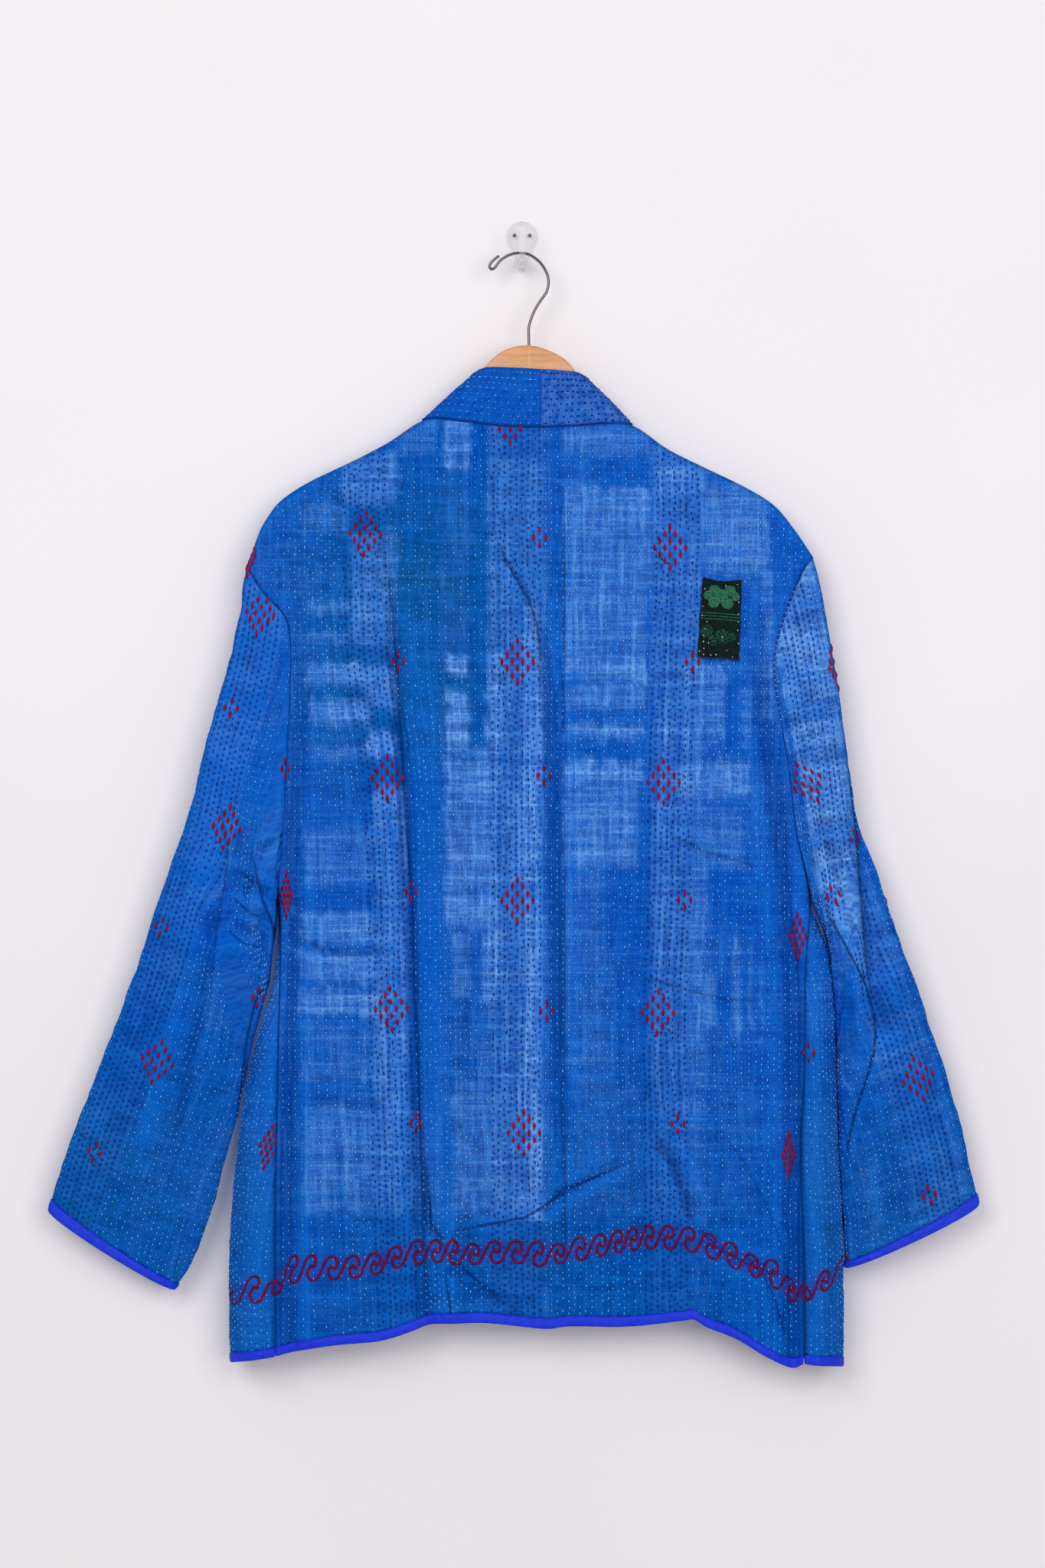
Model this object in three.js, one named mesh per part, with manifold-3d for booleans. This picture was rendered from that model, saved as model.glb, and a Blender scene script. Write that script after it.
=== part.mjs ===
// A quilted cotton jacket hung by a wooden hanger on a small wall hook, seen from its back.
// Millimetres, +Z up. The wall is the plane y = 0 and the jacket's back faces -Y.
// The origin is the middle of the hook plate's back, where the wall holds everything.

import * as THREE from 'three';
import Module from 'manifold-3d';
import { mergeVertices } from 'three/addons/utils/BufferGeometryUtils.js';

const wasm = await Module();
wasm.setup();

// Driving sizes
const clothWall = 2;
const bandWall = 2.6;
const bindingWall = 2.8;
const bindingWidth = 7.5;
const seamGap = 0.4;
const hangerPlane = -22.5;
const hangerThickness = 11;
const wireDiameter = 2.4;
const plateRadius = 12.9;
const plateThickness = 3;

// Colours of the finished pieces
const colours = {
  cloth: '#0a4fae',
  sleeve: '#0c55b4',
  collarLeft: '#0a44a0',
  collarRight: '#5f78d8',
  binding: '#123be0',
  patch: '#16302c',
  wood: '#d9a06c',
  chrome: '#c9ccd0',
  plastic: '#e9ecef',
};

// Outline of the back as it hangs, [x, z], measured from the wall hook.
const shoulderLeft = [
  [-85, -162], [-117, -182], [-148, -198], [-185, -216], [-209, -232],
  [-220, -246], [-227, -259], [-232, -273], [-238, -288],
];
const neckSeam = [
  [-85, -162], [-71, -162], [-44, -165], [-18, -168], [12, -169], [42, -168], [71, -166], [94, -166],
];
const shoulderRight = [
  [94, -166], [126, -187], [158, -203], [193, -220], [218, -236], [236, -258], [251, -280],
];
const armholeLeft = [
  [-238, -288], [-222, -312], [-203, -333], [-199, -354], [-199, -394],
  [-201, -434], [-203, -486], [-207, -533], [-211, -579],
];
const armholeRight = [
  [251, -280], [243, -290], [231, -318], [221, -346], [216, -374], [218, -397],
  [224, -434], [230, -473], [234, -513], [241, -546], [249, -579],
];
const sideSeamLeft = [[-211, -579], [-208.5, -618], [-209, -724], [-211, -830], [-211, -966]];
const sideSeamRight = [[249, -579], [243, -625], [241, -724], [238, -790], [240, -856], [241, -972]];
const backHem = [
  [-211, -966], [-186, -960], [-160, -956], [-120, -952], [-94, -944], [-77, -938], [-54, -937],
  [-31, -937], [-1, -940], [22, -942], [38, -940], [91, -940], [137, -935], [147, -934],
  [157, -940], [183, -950], [210, -966], [233, -976], [241, -972],
];

// Where the body turns round its sides, x at each height: far out behind the armholes,
// on the seam at the underarm, then the edge of the hanging jacket.
const turnLeft = [
  [-280, -330], [-450, -268], [-520, -243], [-560, -221], [-579, -211], [-618, -211], [-651, -216],
  [-701, -230], [-731, -237], [-770, -243], [-810, -248], [-849, -251], [-889, -253], [-990, -251],
];
const turnRight = [
  [-280, 340], [-450, 290], [-520, 271], [-560, 256], [-579, 249], [-600, 257], [-622, 265],
  [-658, 269], [-724, 270.5], [-783, 272], [-830, 274], [-882, 276], [-990, 277],
];
const shoulderPoint = -284;
const underarm = -579;
const armholeMiddle = (shoulderPoint + underarm) / 2;
const armholeHalf = (shoulderPoint - underarm) / 2;
const turnRadius = 38;
const turnDepth = -28;

// Which way the cloth faces along the seams: half the depth of the body, of the arm and of the
// shoulder's roll, how far the facing leans over the shoulder, and where one way turns to the next.
const bodyHalfDepth = 22;
const armHalfDepth = 17;
const rollHalfDepth = 12;
const armholeLean = 0.12;
const shoulderSideways = 0.5;
const shoulderUpwards = 0.9;
const shoulderTurn = 40;
const underarmTurn = 30;

// Depth of the back and of the fronts below the shoulder line, [drop, y].
const backDepth = [[0, -33], [30, -35], [140, -44], [290, -51], [460, -54], [640, -53], [820, -50]];
const frontDepth = [[0, -12], [40, -10], [160, -8], [400, -7], [820, -8]];
const ridgeDepth = -22.5;
const ridgeRadius = 9;
const neckHalfWidth = 80;
const neckMiddle = 4.5;
const neckBlend = 12;

// Fronts on the wall's side: the seam to the band, and the hem.
const frontSeamLeft = [
  [-85, -162], [-83, -178], [-78, -250], [-70, -330], [-63, -500], [-60, -750], [-60, -932],
];
const frontSeamRight = [
  [94, -166], [92, -180], [86, -250], [78, -330], [70, -500], [66, -750], [66, -928],
];
const frontHemLeft = [[-60, -932], [-110, -943], [-170, -955], [-225, -966], [-262, -974]];
const frontHemRight = [[66, -928], [130, -930], [190, -946], [240, -966], [284, -977]];

// Sleeves, flattened tubes: outer edge, inner edge and depth of the two faces along them.
const outerEdgeLeft = [
  [-238, -288], [-244, -331], [-254, -376], [-269, -428], [-285, -496], [-304, -549],
  [-327, -618], [-346, -671], [-367, -724], [-387, -777], [-409, -843],
];
const innerEdgeLeft = [
  [-211, -579], [-212.6, -602], [-214.6, -628], [-218.2, -651], [-233, -704], [-244.5, -757],
  [-257, -803], [-267, -840], [-281, -879], [-299, -911],
];
const outerEdgeRight = [
  [251, -280], [260, -318], [269, -369], [276, -414], [282, -460], [290, -508], [303, -543],
  [319, -592], [342, -658], [368, -737], [383, -790], [394, -838],
];
const innerEdgeRight = [
  [249, -579], [259.4, -601], [267.2, -622], [271, -658], [272.5, -724], [274, -783], [276, -830],
  [277.6, -869], [278.2, -892],
];
const sleeveHalfDepth = [[0, 17], [0.3, 16.5], [0.65, 13.5], [1, 12]];
const sleeveMiddle = [[0, -28.5], [0.4, -28], [1, -25]];
const cuffSag = 5;
const cuffSagPower = 6;
const armholeBlend = 0.4;
const sleeveFoldStart = 0.12;
const swellPower = 0.8;
const underarmEase = 0.9;
const underarmEaseFrom = 0.7;
const underarmEaseTo = 0.92;

// Folds of the hanging cloth: a path, how wide and how far it stands out (negative sinks in).
const folds = [
  { name: 'long valley left of the middle', width: 9, rise: -5,
    path: [
      [-122, -250], [-112, -330], [-105, -434], [-100, -526], [-95, -640], [-90, -760], [-84, -922],
      [-80, -1040],
    ] },
  { name: 'soft roll beside the long valley', width: 17, rise: 4.5,
    path: [[-88, -290], [-79, -434], [-74, -566], [-69, -757], [-63, -942], [-60, -1040]] },
  { name: 'crease from the neck to the middle seam', width: 9, rise: -3.5,
    path: [[-20, -280], [-3, -308], [13, -335], [22, -394], [27, -526], [30, -724], [33, -790]] },
  { name: 'valley beside the right sleeve', width: 11, rise: -9,
    path: [
      [206, -300], [203, -360], [207, -420], [218, -480], [224, -560], [231, -640], [232, -790], [233, -1060],
    ] },
  { name: 'right side roll', width: 11, rise: 4,
    path: [[252, -610], [254, -690], [253, -790], [254, -1060]] },
  { name: 'valley beside the left sleeve', width: 11, rise: -8,
    path: [
      [-190, -300], [-190, -394], [-195, -480], [-199, -560], [-200, -700], [-201, -850], [-201, -1060],
    ] },
  { name: 'left side roll', width: 13, rise: 3.5,
    path: [[-226, -660], [-231, -760], [-232, -1060]] },
  { name: 'slanting fold above the right hem', width: 26, rise: 5,
    path: [[112, -723], [140, -769], [155, -807], [176, -845], [196, -930], [206, -1020]] },
  { name: 'slanting fold above the middle hem', width: 24, rise: 4,
    path: [[-54, -870], [-21, -857], [19, -840], [50, -814], [88, -790]] },
  { name: 'front roll of the left sleeve', width: 15, rise: 7,
    path: [[-215, -300], [-214, -440], [-217, -520], [-224, -572], [-232, -640]] },
  { name: 'outer valley of the left sleeve', width: 11, rise: -5,
    path: [[-238, -350], [-243, -430], [-250, -500], [-254, -560], [-240, -610]] },
  { name: 'second roll of the left sleeve', width: 18, rise: 5,
    path: [[-268, -500], [-285, -580], [-300, -660], [-318, -740], [-330, -820]] },
  { name: 'overlapping roll of the right sleeve', width: 17, rise: 9,
    path: [
      [243, -340], [250, -440], [257, -500], [264, -550], [276, -605], [288, -650], [291, -692], [284, -735],
      [278, -800],
    ] },
  { name: 'outer valley of the right sleeve', width: 10, rise: -6,
    path: [[281, -430], [289, -500], [296, -566], [302, -620], [305, -670], [296, -720]] },
  { name: 'second roll of the right sleeve', width: 20, rise: 5,
    path: [[312, -600], [326, -670], [340, -750], [348, -830]] },
  { name: 'inner roll of the right sleeve', width: 13, rise: 4,
    path: [[318, -670], [308, -735], [300, -790], [302, -860]] },
];
const foldFade = 0.18;
const frontFolds = [
  { name: 'long front valley, left', width: 18, rise: -2.5,
    path: [[-130, -260], [-140, -500], [-150, -940]] },
  { name: 'long front roll, left', width: 20, rise: 2,
    path: [[-190, -330], [-200, -600], [-205, -940]] },
  { name: 'long front valley, right', width: 18, rise: -2.5,
    path: [[140, -260], [150, -500], [165, -940]] },
  { name: 'long front roll, right', width: 20, rise: 2,
    path: [[205, -330], [215, -600], [225, -940]] },
  { name: 'back roll of the left sleeve', width: 18, rise: 2,
    path: [[-255, -430], [-290, -600], [-340, -800]] },
  { name: 'back roll of the right sleeve', width: 18, rise: 2,
    path: [[265, -430], [300, -600], [335, -800]] },
];

// Band of the neck and fronts: stations of its sewn edge and of its free edge, [x, y, z].
const bandSewnLeft = [
  [16.3, -33, -168.5], [-18, -33, -167.6], [-44, -33, -164.6], [-67, -32.4, -161.6], [-80, -29.5, -160.7],
  [-86.5, -22.5, -161], [-83.6, -13.2, -166], [-81.2, -11, -190], [-77, -9, -250], [-69, -8, -330],
  [-62.2, -7, -500], [-59.4, -7.5, -750], [-59.4, -8, -931],
];
const bandFreeLeft = [
  [16.3, -32, -118.5], [0, -32, -117.6], [-14, -32, -117], [-27, -31.5, -116.6], [-35, -28.5, -117],
  [-41, -22.5, -120], [-41, -13, -127], [-38, -11, -158], [-31, -9, -225], [-22, -8, -315],
  [-12, -7, -500], [-9, -7.5, -750], [-9, -8, -931],
];
const bandSewnRight = [
  [16.7, -33, -168.6], [42, -33, -167.5], [60, -33, -165.8], [78, -32.4, -165], [89, -29.5, -164.6],
  [95.5, -22.5, -165], [92.5, -13.2, -170], [89.6, -11, -194], [85, -9, -250], [77, -8, -330],
  [69.4, -7, -500], [65.4, -7.5, -750], [65.4, -8, -927],
];
const bandFreeRight = [
  [16.7, -32, -118.5], [27, -32, -119], [36, -32, -119.8], [45, -31.5, -120.4], [50, -28.5, -121],
  [55, -22.5, -124], [54, -13, -131], [50, -11, -160], [42, -9, -225], [32, -8, -315],
  [20, -7, -500], [15, -7.5, -750], [15, -8, -927],
];

const patchCorners = [[155.1, -298.3], [188.1, -300.3], [185.5, -369.6], [149.8, -366.3]];
const patchLift = 0.9;
const patchWall = 1;

// Curve through [x, z] or [x, y, z] points, read by its share of the length.
function curveThrough(points) {
  const places = points.map((p) => new THREE.Vector3(p[0], p.length === 3 ? p[1] : 0, p[p.length - 1]));
  const curve = new THREE.CatmullRomCurve3(places, false, 'centripetal');
  curve.arcLengthDivisions = 400;
  return (share) => curve.getPointAt(THREE.MathUtils.clamp(share, 0, 1));
}

// Smooth value between [place, value] pairs; the places may rise or fall.
function profile(pairs) {
  const rows = pairs[0][0] < pairs[pairs.length - 1][0] ? pairs : [...pairs].reverse();
  const slope = (i) => {
    const before = rows[Math.max(i - 1, 0)];
    const after = rows[Math.min(i + 1, rows.length - 1)];
    return (after[1] - before[1]) / (after[0] - before[0]);
  };
  return (place) => {
    if (place <= rows[0][0]) return rows[0][1];
    if (place >= rows[rows.length - 1][0]) return rows[rows.length - 1][1];
    let i = 0;
    while (place > rows[i + 1][0]) i += 1;
    const span = rows[i + 1][0] - rows[i][0];
    const t = (place - rows[i][0]) / span;
    const rise = t * t * (3 - 2 * t);
    const pull = t * (1 - t) * ((1 - t) * slope(i) - t * slope(i + 1)) * span;
    return rows[i][1] * (1 - rise) + rows[i + 1][1] * rise + pull;
  };
}

// The nearest place of a path: how far off it is, and its share of the way along.
function nearestOnPath(path, x, z) {
  const nearest = { off: Infinity, along: 0 };
  let run = 0;
  for (let i = 0; i + 1 < path.length; i += 1) {
    const dx = path[i + 1][0] - path[i][0];
    const dz = path[i + 1][1] - path[i][1];
    const length = Math.hypot(dx, dz);
    const t = THREE.MathUtils.clamp(((x - path[i][0]) * dx + (z - path[i][1]) * dz) / length ** 2, 0, 1);
    const off = Math.hypot(x - path[i][0] - t * dx, z - path[i][1] - t * dz);
    if (off < nearest.off) {
      nearest.off = off;
      nearest.along = run + t * length;
    }
    run += length;
  }
  nearest.along /= run;
  return nearest;
}

// Folds grow out of the flat cloth and die away again towards the ends of their paths.
function foldRise(list, x, z) {
  let rise = 0;
  for (const fold of list) {
    const { off, along } = nearestOnPath(fold.path, x, z);
    const fading = THREE.MathUtils.smoothstep(along, 1 - foldFade, 1);
    const grown = THREE.MathUtils.smoothstep(along, 0, foldFade) * (1 - fading);
    rise += fold.rise * grown * Math.exp(-((off / fold.width) ** 2));
  }
  return rise;
}

// Quarter round: 0 at the edge, 1 once the share reaches 1.
function quarterRound(share) {
  const left = 1 - THREE.MathUtils.clamp(share, 0, 1);
  return Math.sqrt(1 - left * left);
}

const topLine = profile([...shoulderLeft].reverse().concat(neckSeam.slice(1), shoulderRight.slice(1)));
const leftTurnAt = profile(turnLeft);
const rightTurnAt = profile(turnRight);
const backDepthAt = profile(backDepth);
const frontDepthAt = profile(frontDepth);

// How much of the roll over the hanger applies: all on the shoulders, none across the neck.
function shoulderRoll(x, drop) {
  const fromNeck = Math.abs(x - neckMiddle) - neckHalfWidth;
  const onShoulder = THREE.MathUtils.smoothstep(fromNeck, 0, neckBlend);
  return 1 - (1 - quarterRound(drop / ridgeRadius)) * onShoulder;
}

function sideRound(x, z) {
  return quarterRound((x - leftTurnAt(z)) / turnRadius) * quarterRound((rightTurnAt(z) - x) / turnRadius);
}

function backFaceDepth(x, z) {
  const drop = topLine(x) - z;
  const round = sideRound(x, z);
  const hanging = turnDepth + (backDepthAt(drop) - turnDepth) * round - foldRise(folds, x, z) * round;
  return ridgeDepth + (hanging - ridgeDepth) * shoulderRoll(x, drop);
}

function frontFaceDepth(x, z) {
  const drop = topLine(x) - z;
  const round = sideRound(x, z);
  const hanging = turnDepth + (frontDepthAt(drop) - turnDepth) * round + foldRise(frontFolds, x, z) * round;
  return ridgeDepth + (hanging - ridgeDepth) * quarterRound(drop / ridgeRadius);
}

// A front is drawn flat, as cut, and wrapped round its side. On the flat drawing, reach is the
// distance outwards from the turn's start; past it the cloth runs round a half ellipse.
function wrapSide(flatX, z, side) {
  const edge = side < 0 ? leftTurnAt(z) : rightTurnAt(z);
  const reach = (flatX - edge) * side + turnRadius;
  if (reach <= 0) return new THREE.Vector3(flatX, frontFaceDepth(flatX, z), z);
  const angle = Math.PI / 2 - reach / turnRadius;
  const x = edge - side * turnRadius * (1 - Math.cos(angle));
  const y = angle > 0 ? frontFaceDepth(x, z) : backFaceDepth(x, z);
  return new THREE.Vector3(x, y, z);
}

function flatPlace(x, z, side, onBack) {
  const edge = side < 0 ? leftTurnAt(z) : rightTurnAt(z);
  const inset = (edge - x) * side;
  if (inset >= turnRadius && !onBack) return x;
  const angle = Math.acos(THREE.MathUtils.clamp(1 - inset / turnRadius, -1, 1)) * (onBack ? -1 : 1);
  return edge + side * (turnRadius * (Math.PI / 2 - angle) - turnRadius);
}

// Direction in which the cloth faces on a seam of one side, the same for the pieces that meet
// there: round the armhole above the underarm, and round the body's turn below it.
function seamFacing(place, side) {
  const edge = side < 0 ? leftTurnAt(place.z) : rightTurnAt(place.z);
  const outwards = (place.x - edge + side * turnRadius) * side;
  const depth = place.y - turnDepth;
  const height = (place.z - armholeMiddle) / armholeHalf;
  const roundBody = new THREE.Vector3(side * Math.max(outwards, 0) / turnRadius, depth / bodyHalfDepth, 0);
  const roundArm = new THREE.Vector3(0, depth / armHalfDepth, height * armholeLean);
  const rollDepth = (place.y - ridgeDepth) / rollHalfDepth;
  const overShoulder = new THREE.Vector3(side * shoulderSideways, rollDepth, shoulderUpwards);
  const nearTop = THREE.MathUtils.smoothstep(place.z, shoulderPoint - shoulderTurn, shoulderPoint);
  roundArm.lerp(overShoulder, nearTop);
  const share = THREE.MathUtils.smoothstep(place.z, underarm - underarmTurn, underarm + underarmTurn);
  return roundBody.normalize().lerp(roundArm.normalize(), share).normalize();
}

// Surface between four edges, each read by its share: top and bottom across, left and right down.
function betweenEdges(top, bottom, left, right) {
  return (u, v) => {
    const place = top(u).multiplyScalar(1 - v).add(bottom(u).multiplyScalar(v));
    place.add(left(v).multiplyScalar(1 - u)).add(right(v).multiplyScalar(u));
    place.sub(top(0).multiplyScalar((1 - u) * (1 - v))).sub(top(1).multiplyScalar(u * (1 - v)));
    return place.sub(bottom(0).multiplyScalar((1 - u) * v)).sub(bottom(1).multiplyScalar(u * v));
  };
}

// Closed wall of cloth over a surface. The surface's face lies outwards and the wall is laid
// inwards from it; lift moves both out. A closed ring joins its last column to its first.
function clothWallOver(surface, options) {
  const { columns, rows, ring = false, wall = clothWall, lift = 0, seam = () => null } = options;
  const across = options.across ?? [0, 1];
  const down = options.down ?? [0, 1];
  const count = ring ? columns : columns + 1;
  const cells = ring ? count : count - 1;
  const ease = options.rowEase ?? ((t) => t);
  const columnEase = options.columnEase ?? ((t) => t);
  const outer = [];
  for (let row = 0; row <= rows; row += 1) {
    const v = THREE.MathUtils.lerp(down[0], down[1], ease(row / rows));
    for (let column = 0; column < count; column += 1) {
      outer.push(surface(THREE.MathUtils.lerp(across[0], across[1], columnEase(column / columns)), v));
    }
  }
  const at = (row, column) => row * count + (ring ? (column + count) % count : column);
  const normals = outer.map(() => new THREE.Vector3());
  for (let row = 0; row < rows; row += 1) {
    for (let column = 0; column < cells; column += 1) {
      const corners = [at(row, column), at(row, column + 1), at(row + 1, column + 1), at(row + 1, column)];
      const one = new THREE.Vector3().subVectors(outer[corners[2]], outer[corners[0]]);
      const two = new THREE.Vector3().subVectors(outer[corners[3]], outer[corners[1]]);
      const normal = one.cross(two).negate();
      for (const corner of corners) normals[corner].add(normal);
    }
  }
  for (let row = 0; row <= rows; row += 1) {
    for (let column = 0; column < count; column += 1) {
      const normal = normals[at(row, column)].normalize();
      const shared = seam(column / columns, row / rows, outer[at(row, column)]);
      if (shared) normal.copy(shared);
    }
  }
  const inner = outer.map((place, i) => place.clone().addScaledVector(normals[i], lift - wall));
  const raised = outer.map((place, i) => place.clone().addScaledVector(normals[i], lift));
  const places = raised.concat(inner);
  const shift = outer.length;
  const faces = [];
  const quad = (a, b, c, d) => faces.push(a, b, c, a, c, d);
  for (let row = 0; row < rows; row += 1) {
    for (let column = 0; column < cells; column += 1) {
      const [a, b] = [at(row, column), at(row + 1, column)];
      const [c, d] = [at(row + 1, column + 1), at(row, column + 1)];
      quad(a, b, c, d);
      quad(a + shift, d + shift, c + shift, b + shift);
    }
  }
  for (let column = 0; column < cells; column += 1) {
    const [a, b] = [at(0, column), at(0, column + 1)];
    quad(a, b, b + shift, a + shift);
    const [c, d] = [at(rows, column), at(rows, column + 1)];
    quad(d, c, c + shift, d + shift);
  }
  if (!ring) {
    for (let row = 0; row < rows; row += 1) {
      const [a, b] = [at(row, 0), at(row + 1, 0)];
      quad(b, a, a + shift, b + shift);
      const [c, d] = [at(row, count - 1), at(row + 1, count - 1)];
      quad(c, d, d + shift, c + shift);
    }
  }
  const geometry = new THREE.BufferGeometry();
  geometry.setAttribute('position', new THREE.Float32BufferAttribute(places.flatMap((p) => p.toArray()), 3));
  geometry.setIndex(faces);
  return geometry;
}

const jacket = new THREE.Group();

function addPiece(name, geometry, color, roughness, metalness = 0) {
  const mesh = new THREE.Mesh(geometry, new THREE.MeshStandardMaterial({ color, roughness, metalness }));
  mesh.name = name;
  jacket.add(mesh);
  return mesh;
}

// Rows of a panel: close ones round the roll over the hanger, even ones to the underarm, then
// even ones to the hem. The same rows meet on both sides of every seam.
const armholeRows = 12;
const panelRows = 25;
const rollRows = [0, 0.0045, 0.0125, 0.028];
const underarmShare = 0.45;
function panelRow(row) {
  if (row < rollRows.length) return rollRows[row];
  if (row > armholeRows) {
    return THREE.MathUtils.lerp(underarmShare, 1, (row - armholeRows) / (panelRows - armholeRows));
  }
  const last = rollRows.length - 1;
  return THREE.MathUtils.lerp(rollRows[last], underarmShare, (row - last) / (armholeRows - last));
}
const panelEase = (t) => panelRow(Math.round(t * panelRows));

// Outer edge of the panels on one side: the armhole down to the underarm, then the side seam.
function panelEdge(side) {
  const armhole = curveThrough(side < 0 ? armholeLeft : armholeRight);
  const sideSeam = curveThrough(side < 0 ? sideSeamLeft : sideSeamRight);
  return (v) => {
    if (v < underarmShare) return armhole(v / underarmShare);
    return sideSeam((v - underarmShare) / (1 - underarmShare));
  };
}

// Back panel: drawn between the shoulders, the hem, the armholes and the side seams.
const backTop = curveThrough([...shoulderLeft].reverse().concat(neckSeam.slice(1), shoulderRight.slice(1)));
const backOutline = betweenEdges(
  backTop,
  curveThrough(backHem),
  panelEdge(-1),
  panelEdge(1),
);
function backSurface(u, v) {
  const place = backOutline(u, v);
  place.y = backFaceDepth(place.x, place.z);
  return place;
}
const panelHeight = 800;
const topInset = 0.0005;
const backInset = 0.0006;
const backTapeInset = 0.0015;
const bindingLift = 0.4;
const bindingShare = bindingWidth / panelHeight;
const gapShare = seamGap / panelHeight;
const columnPull = 0.07;
const columnLean = 0.3;
function closerAtSides(t) {
  const lean = (1 - columnLean * Math.cos(2 * Math.PI * t)) / (1 + columnLean);
  return t - columnPull * Math.sin(2 * Math.PI * t) * lean;
}
const backColumns = 28;
const backSeam = (u, v, place) => (u === 0 || u === 1 ? seamFacing(place, u === 0 ? -1 : 1) : null);
addPiece('back', clothWallOver(backSurface, {
  columns: backColumns, rows: panelRows, across: [backInset, 1 - backInset],
  down: [topInset, 1 - bindingShare - gapShare], rowEase: panelEase, columnEase: closerAtSides,
  seam: backSeam,
}), colours.cloth, 0.9);
addPiece('hem_binding_back', clothWallOver(backSurface, {
  columns: backColumns, rows: 1, across: [backTapeInset, 1 - backTapeInset], down: [1 - bindingShare, 1],
  wall: bindingWall, lift: bindingLift, columnEase: closerAtSides, seam: backSeam,
}), colours.binding, 0.75);

// Fronts: from the band's seam to the armhole, then round the side to the side seam.
function frontSurface(side) {
  const shoulder = side < 0 ? shoulderLeft : shoulderRight;
  const hem = side < 0 ? frontHemLeft : frontHemRight;
  const edge = panelEdge(side);
  const flatOuter = (v) => {
    const place = edge(v);
    place.x = flatPlace(place.x, place.z, side, v >= underarmShare);
    return place;
  };
  const hemEnd = flatOuter(1);
  const flat = betweenEdges(
    curveThrough(shoulder),
    curveThrough(hem.concat([[hemEnd.x, hemEnd.z]])),
    curveThrough(side < 0 ? frontSeamLeft : frontSeamRight),
    flatOuter,
  );
  return (u, v) => {
    const place = flat(side < 0 ? u : 1 - u, v);
    return wrapSide(place.x, place.z, side);
  };
}
const frontColumns = 15;
const frontInset = 0.0015;
const frontTapeInset = 0.0025;
const outsidePull = 1.35;
for (const [name, side] of [['left', -1], ['right', 1]]) {
  const surface = frontSurface(side);
  const outerEdge = side < 0 ? 1 : 0;
  const closerOutside = (t) => (side < 0 ? 1 - (1 - t) ** outsidePull : t ** outsidePull);
  const seam = (u, v, place) => (u === outerEdge ? seamFacing(place, side) : null);
  addPiece(`front_${name}`, clothWallOver(surface, {
    columns: frontColumns, rows: panelRows, across: [frontInset, 1 - frontInset],
    down: [topInset, 1 - bindingShare - gapShare], rowEase: panelEase, columnEase: closerOutside, seam,
  }), colours.cloth, 0.9);
  addPiece(`hem_binding_front_${name}`, clothWallOver(surface, {
    columns: frontColumns, rows: 1, across: [frontTapeInset, 1 - frontTapeInset], down: [1 - bindingShare, 1],
    wall: bindingWall, lift: bindingLift, columnEase: closerOutside, seam,
  }), colours.binding, 0.75);
}

// Sleeves: a ring round each, starting on the armhole's own line and ending at the cuff.
function sleeveSurface(side) {
  const outerEdge = curveThrough(side < 0 ? outerEdgeLeft : outerEdgeRight);
  const innerEdge = curveThrough(side < 0 ? innerEdgeLeft : innerEdgeRight);
  const armhole = curveThrough(side < 0 ? armholeLeft : armholeRight);
  const halfDepth = profile(sleeveHalfDepth);
  const middle = profile(sleeveMiddle);
  // Share of the way from the outer edge to the inner one, and which face, for a place round the
  // ring. On the armhole the same shares fall on the panels' own rows.
  const ringPlace = (u) => {
    const onBack = u < 0.5;
    const turn = onBack ? u * 2 : (1 - u) * 2;
    return { onBack, fromOuter: side < 0 ? turn : 1 - turn };
  };
  const tube = ({ onBack, fromOuter }, v) => {
    const share = (1 - Math.cos(Math.PI * fromOuter)) / 2;
    const place = outerEdge(v).lerp(innerEdge(v), share);
    const swell = Math.sin(Math.PI * fromOuter) ** swellPower;
    const fold = foldRise(onBack ? folds : frontFolds, place.x, place.z);
    const rise = fold * swell * THREE.MathUtils.smoothstep(v, 0, sleeveFoldStart);
    place.y = middle(v) + (onBack ? -1 : 1) * (halfDepth(v) * swell + rise);
    place.z -= cuffSag * swell * v ** cuffSagPower;
    return place;
  };
  const start = ({ onBack, fromOuter }) => {
    const place = armhole(panelRow(Math.round(fromOuter * armholeRows)) / underarmShare);
    place.y = onBack ? backFaceDepth(place.x, place.z) : frontFaceDepth(place.x, place.z);
    place.x += side * underarmEase * THREE.MathUtils.smoothstep(fromOuter, underarmEaseFrom, underarmEaseTo);
    return place;
  };
  return (u, v) => {
    const where = ringPlace(u);
    const fade = (1 - THREE.MathUtils.smoothstep(v, 0, armholeBlend));
    return tube(where, v).add(start(where).sub(tube(where, 0)).multiplyScalar(fade));
  };
}
const sleeveLength = 470;
const sleeveInset = 0.0025;
const sleeveRows = 19;
const cuffShare = bindingWidth / sleeveLength;
for (const [name, side] of [['left', -1], ['right', 1]]) {
  const surface = sleeveSurface(side);
  const seam = (u, v, place) => (v === 0 ? seamFacing(place, side) : null);
  addPiece(`sleeve_${name}`, clothWallOver(surface, {
    columns: 2 * armholeRows, rows: sleeveRows, ring: true,
    down: [sleeveInset, 1 - cuffShare - seamGap / sleeveLength], seam,
  }), colours.sleeve, 0.9);
  addPiece(`cuff_binding_${name}`, clothWallOver(surface, {
    columns: 2 * armholeRows, rows: 1, ring: true, down: [1 - cuffShare, 1], wall: bindingWall,
    lift: bindingLift,
  }), colours.binding, 0.75);
}

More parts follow.
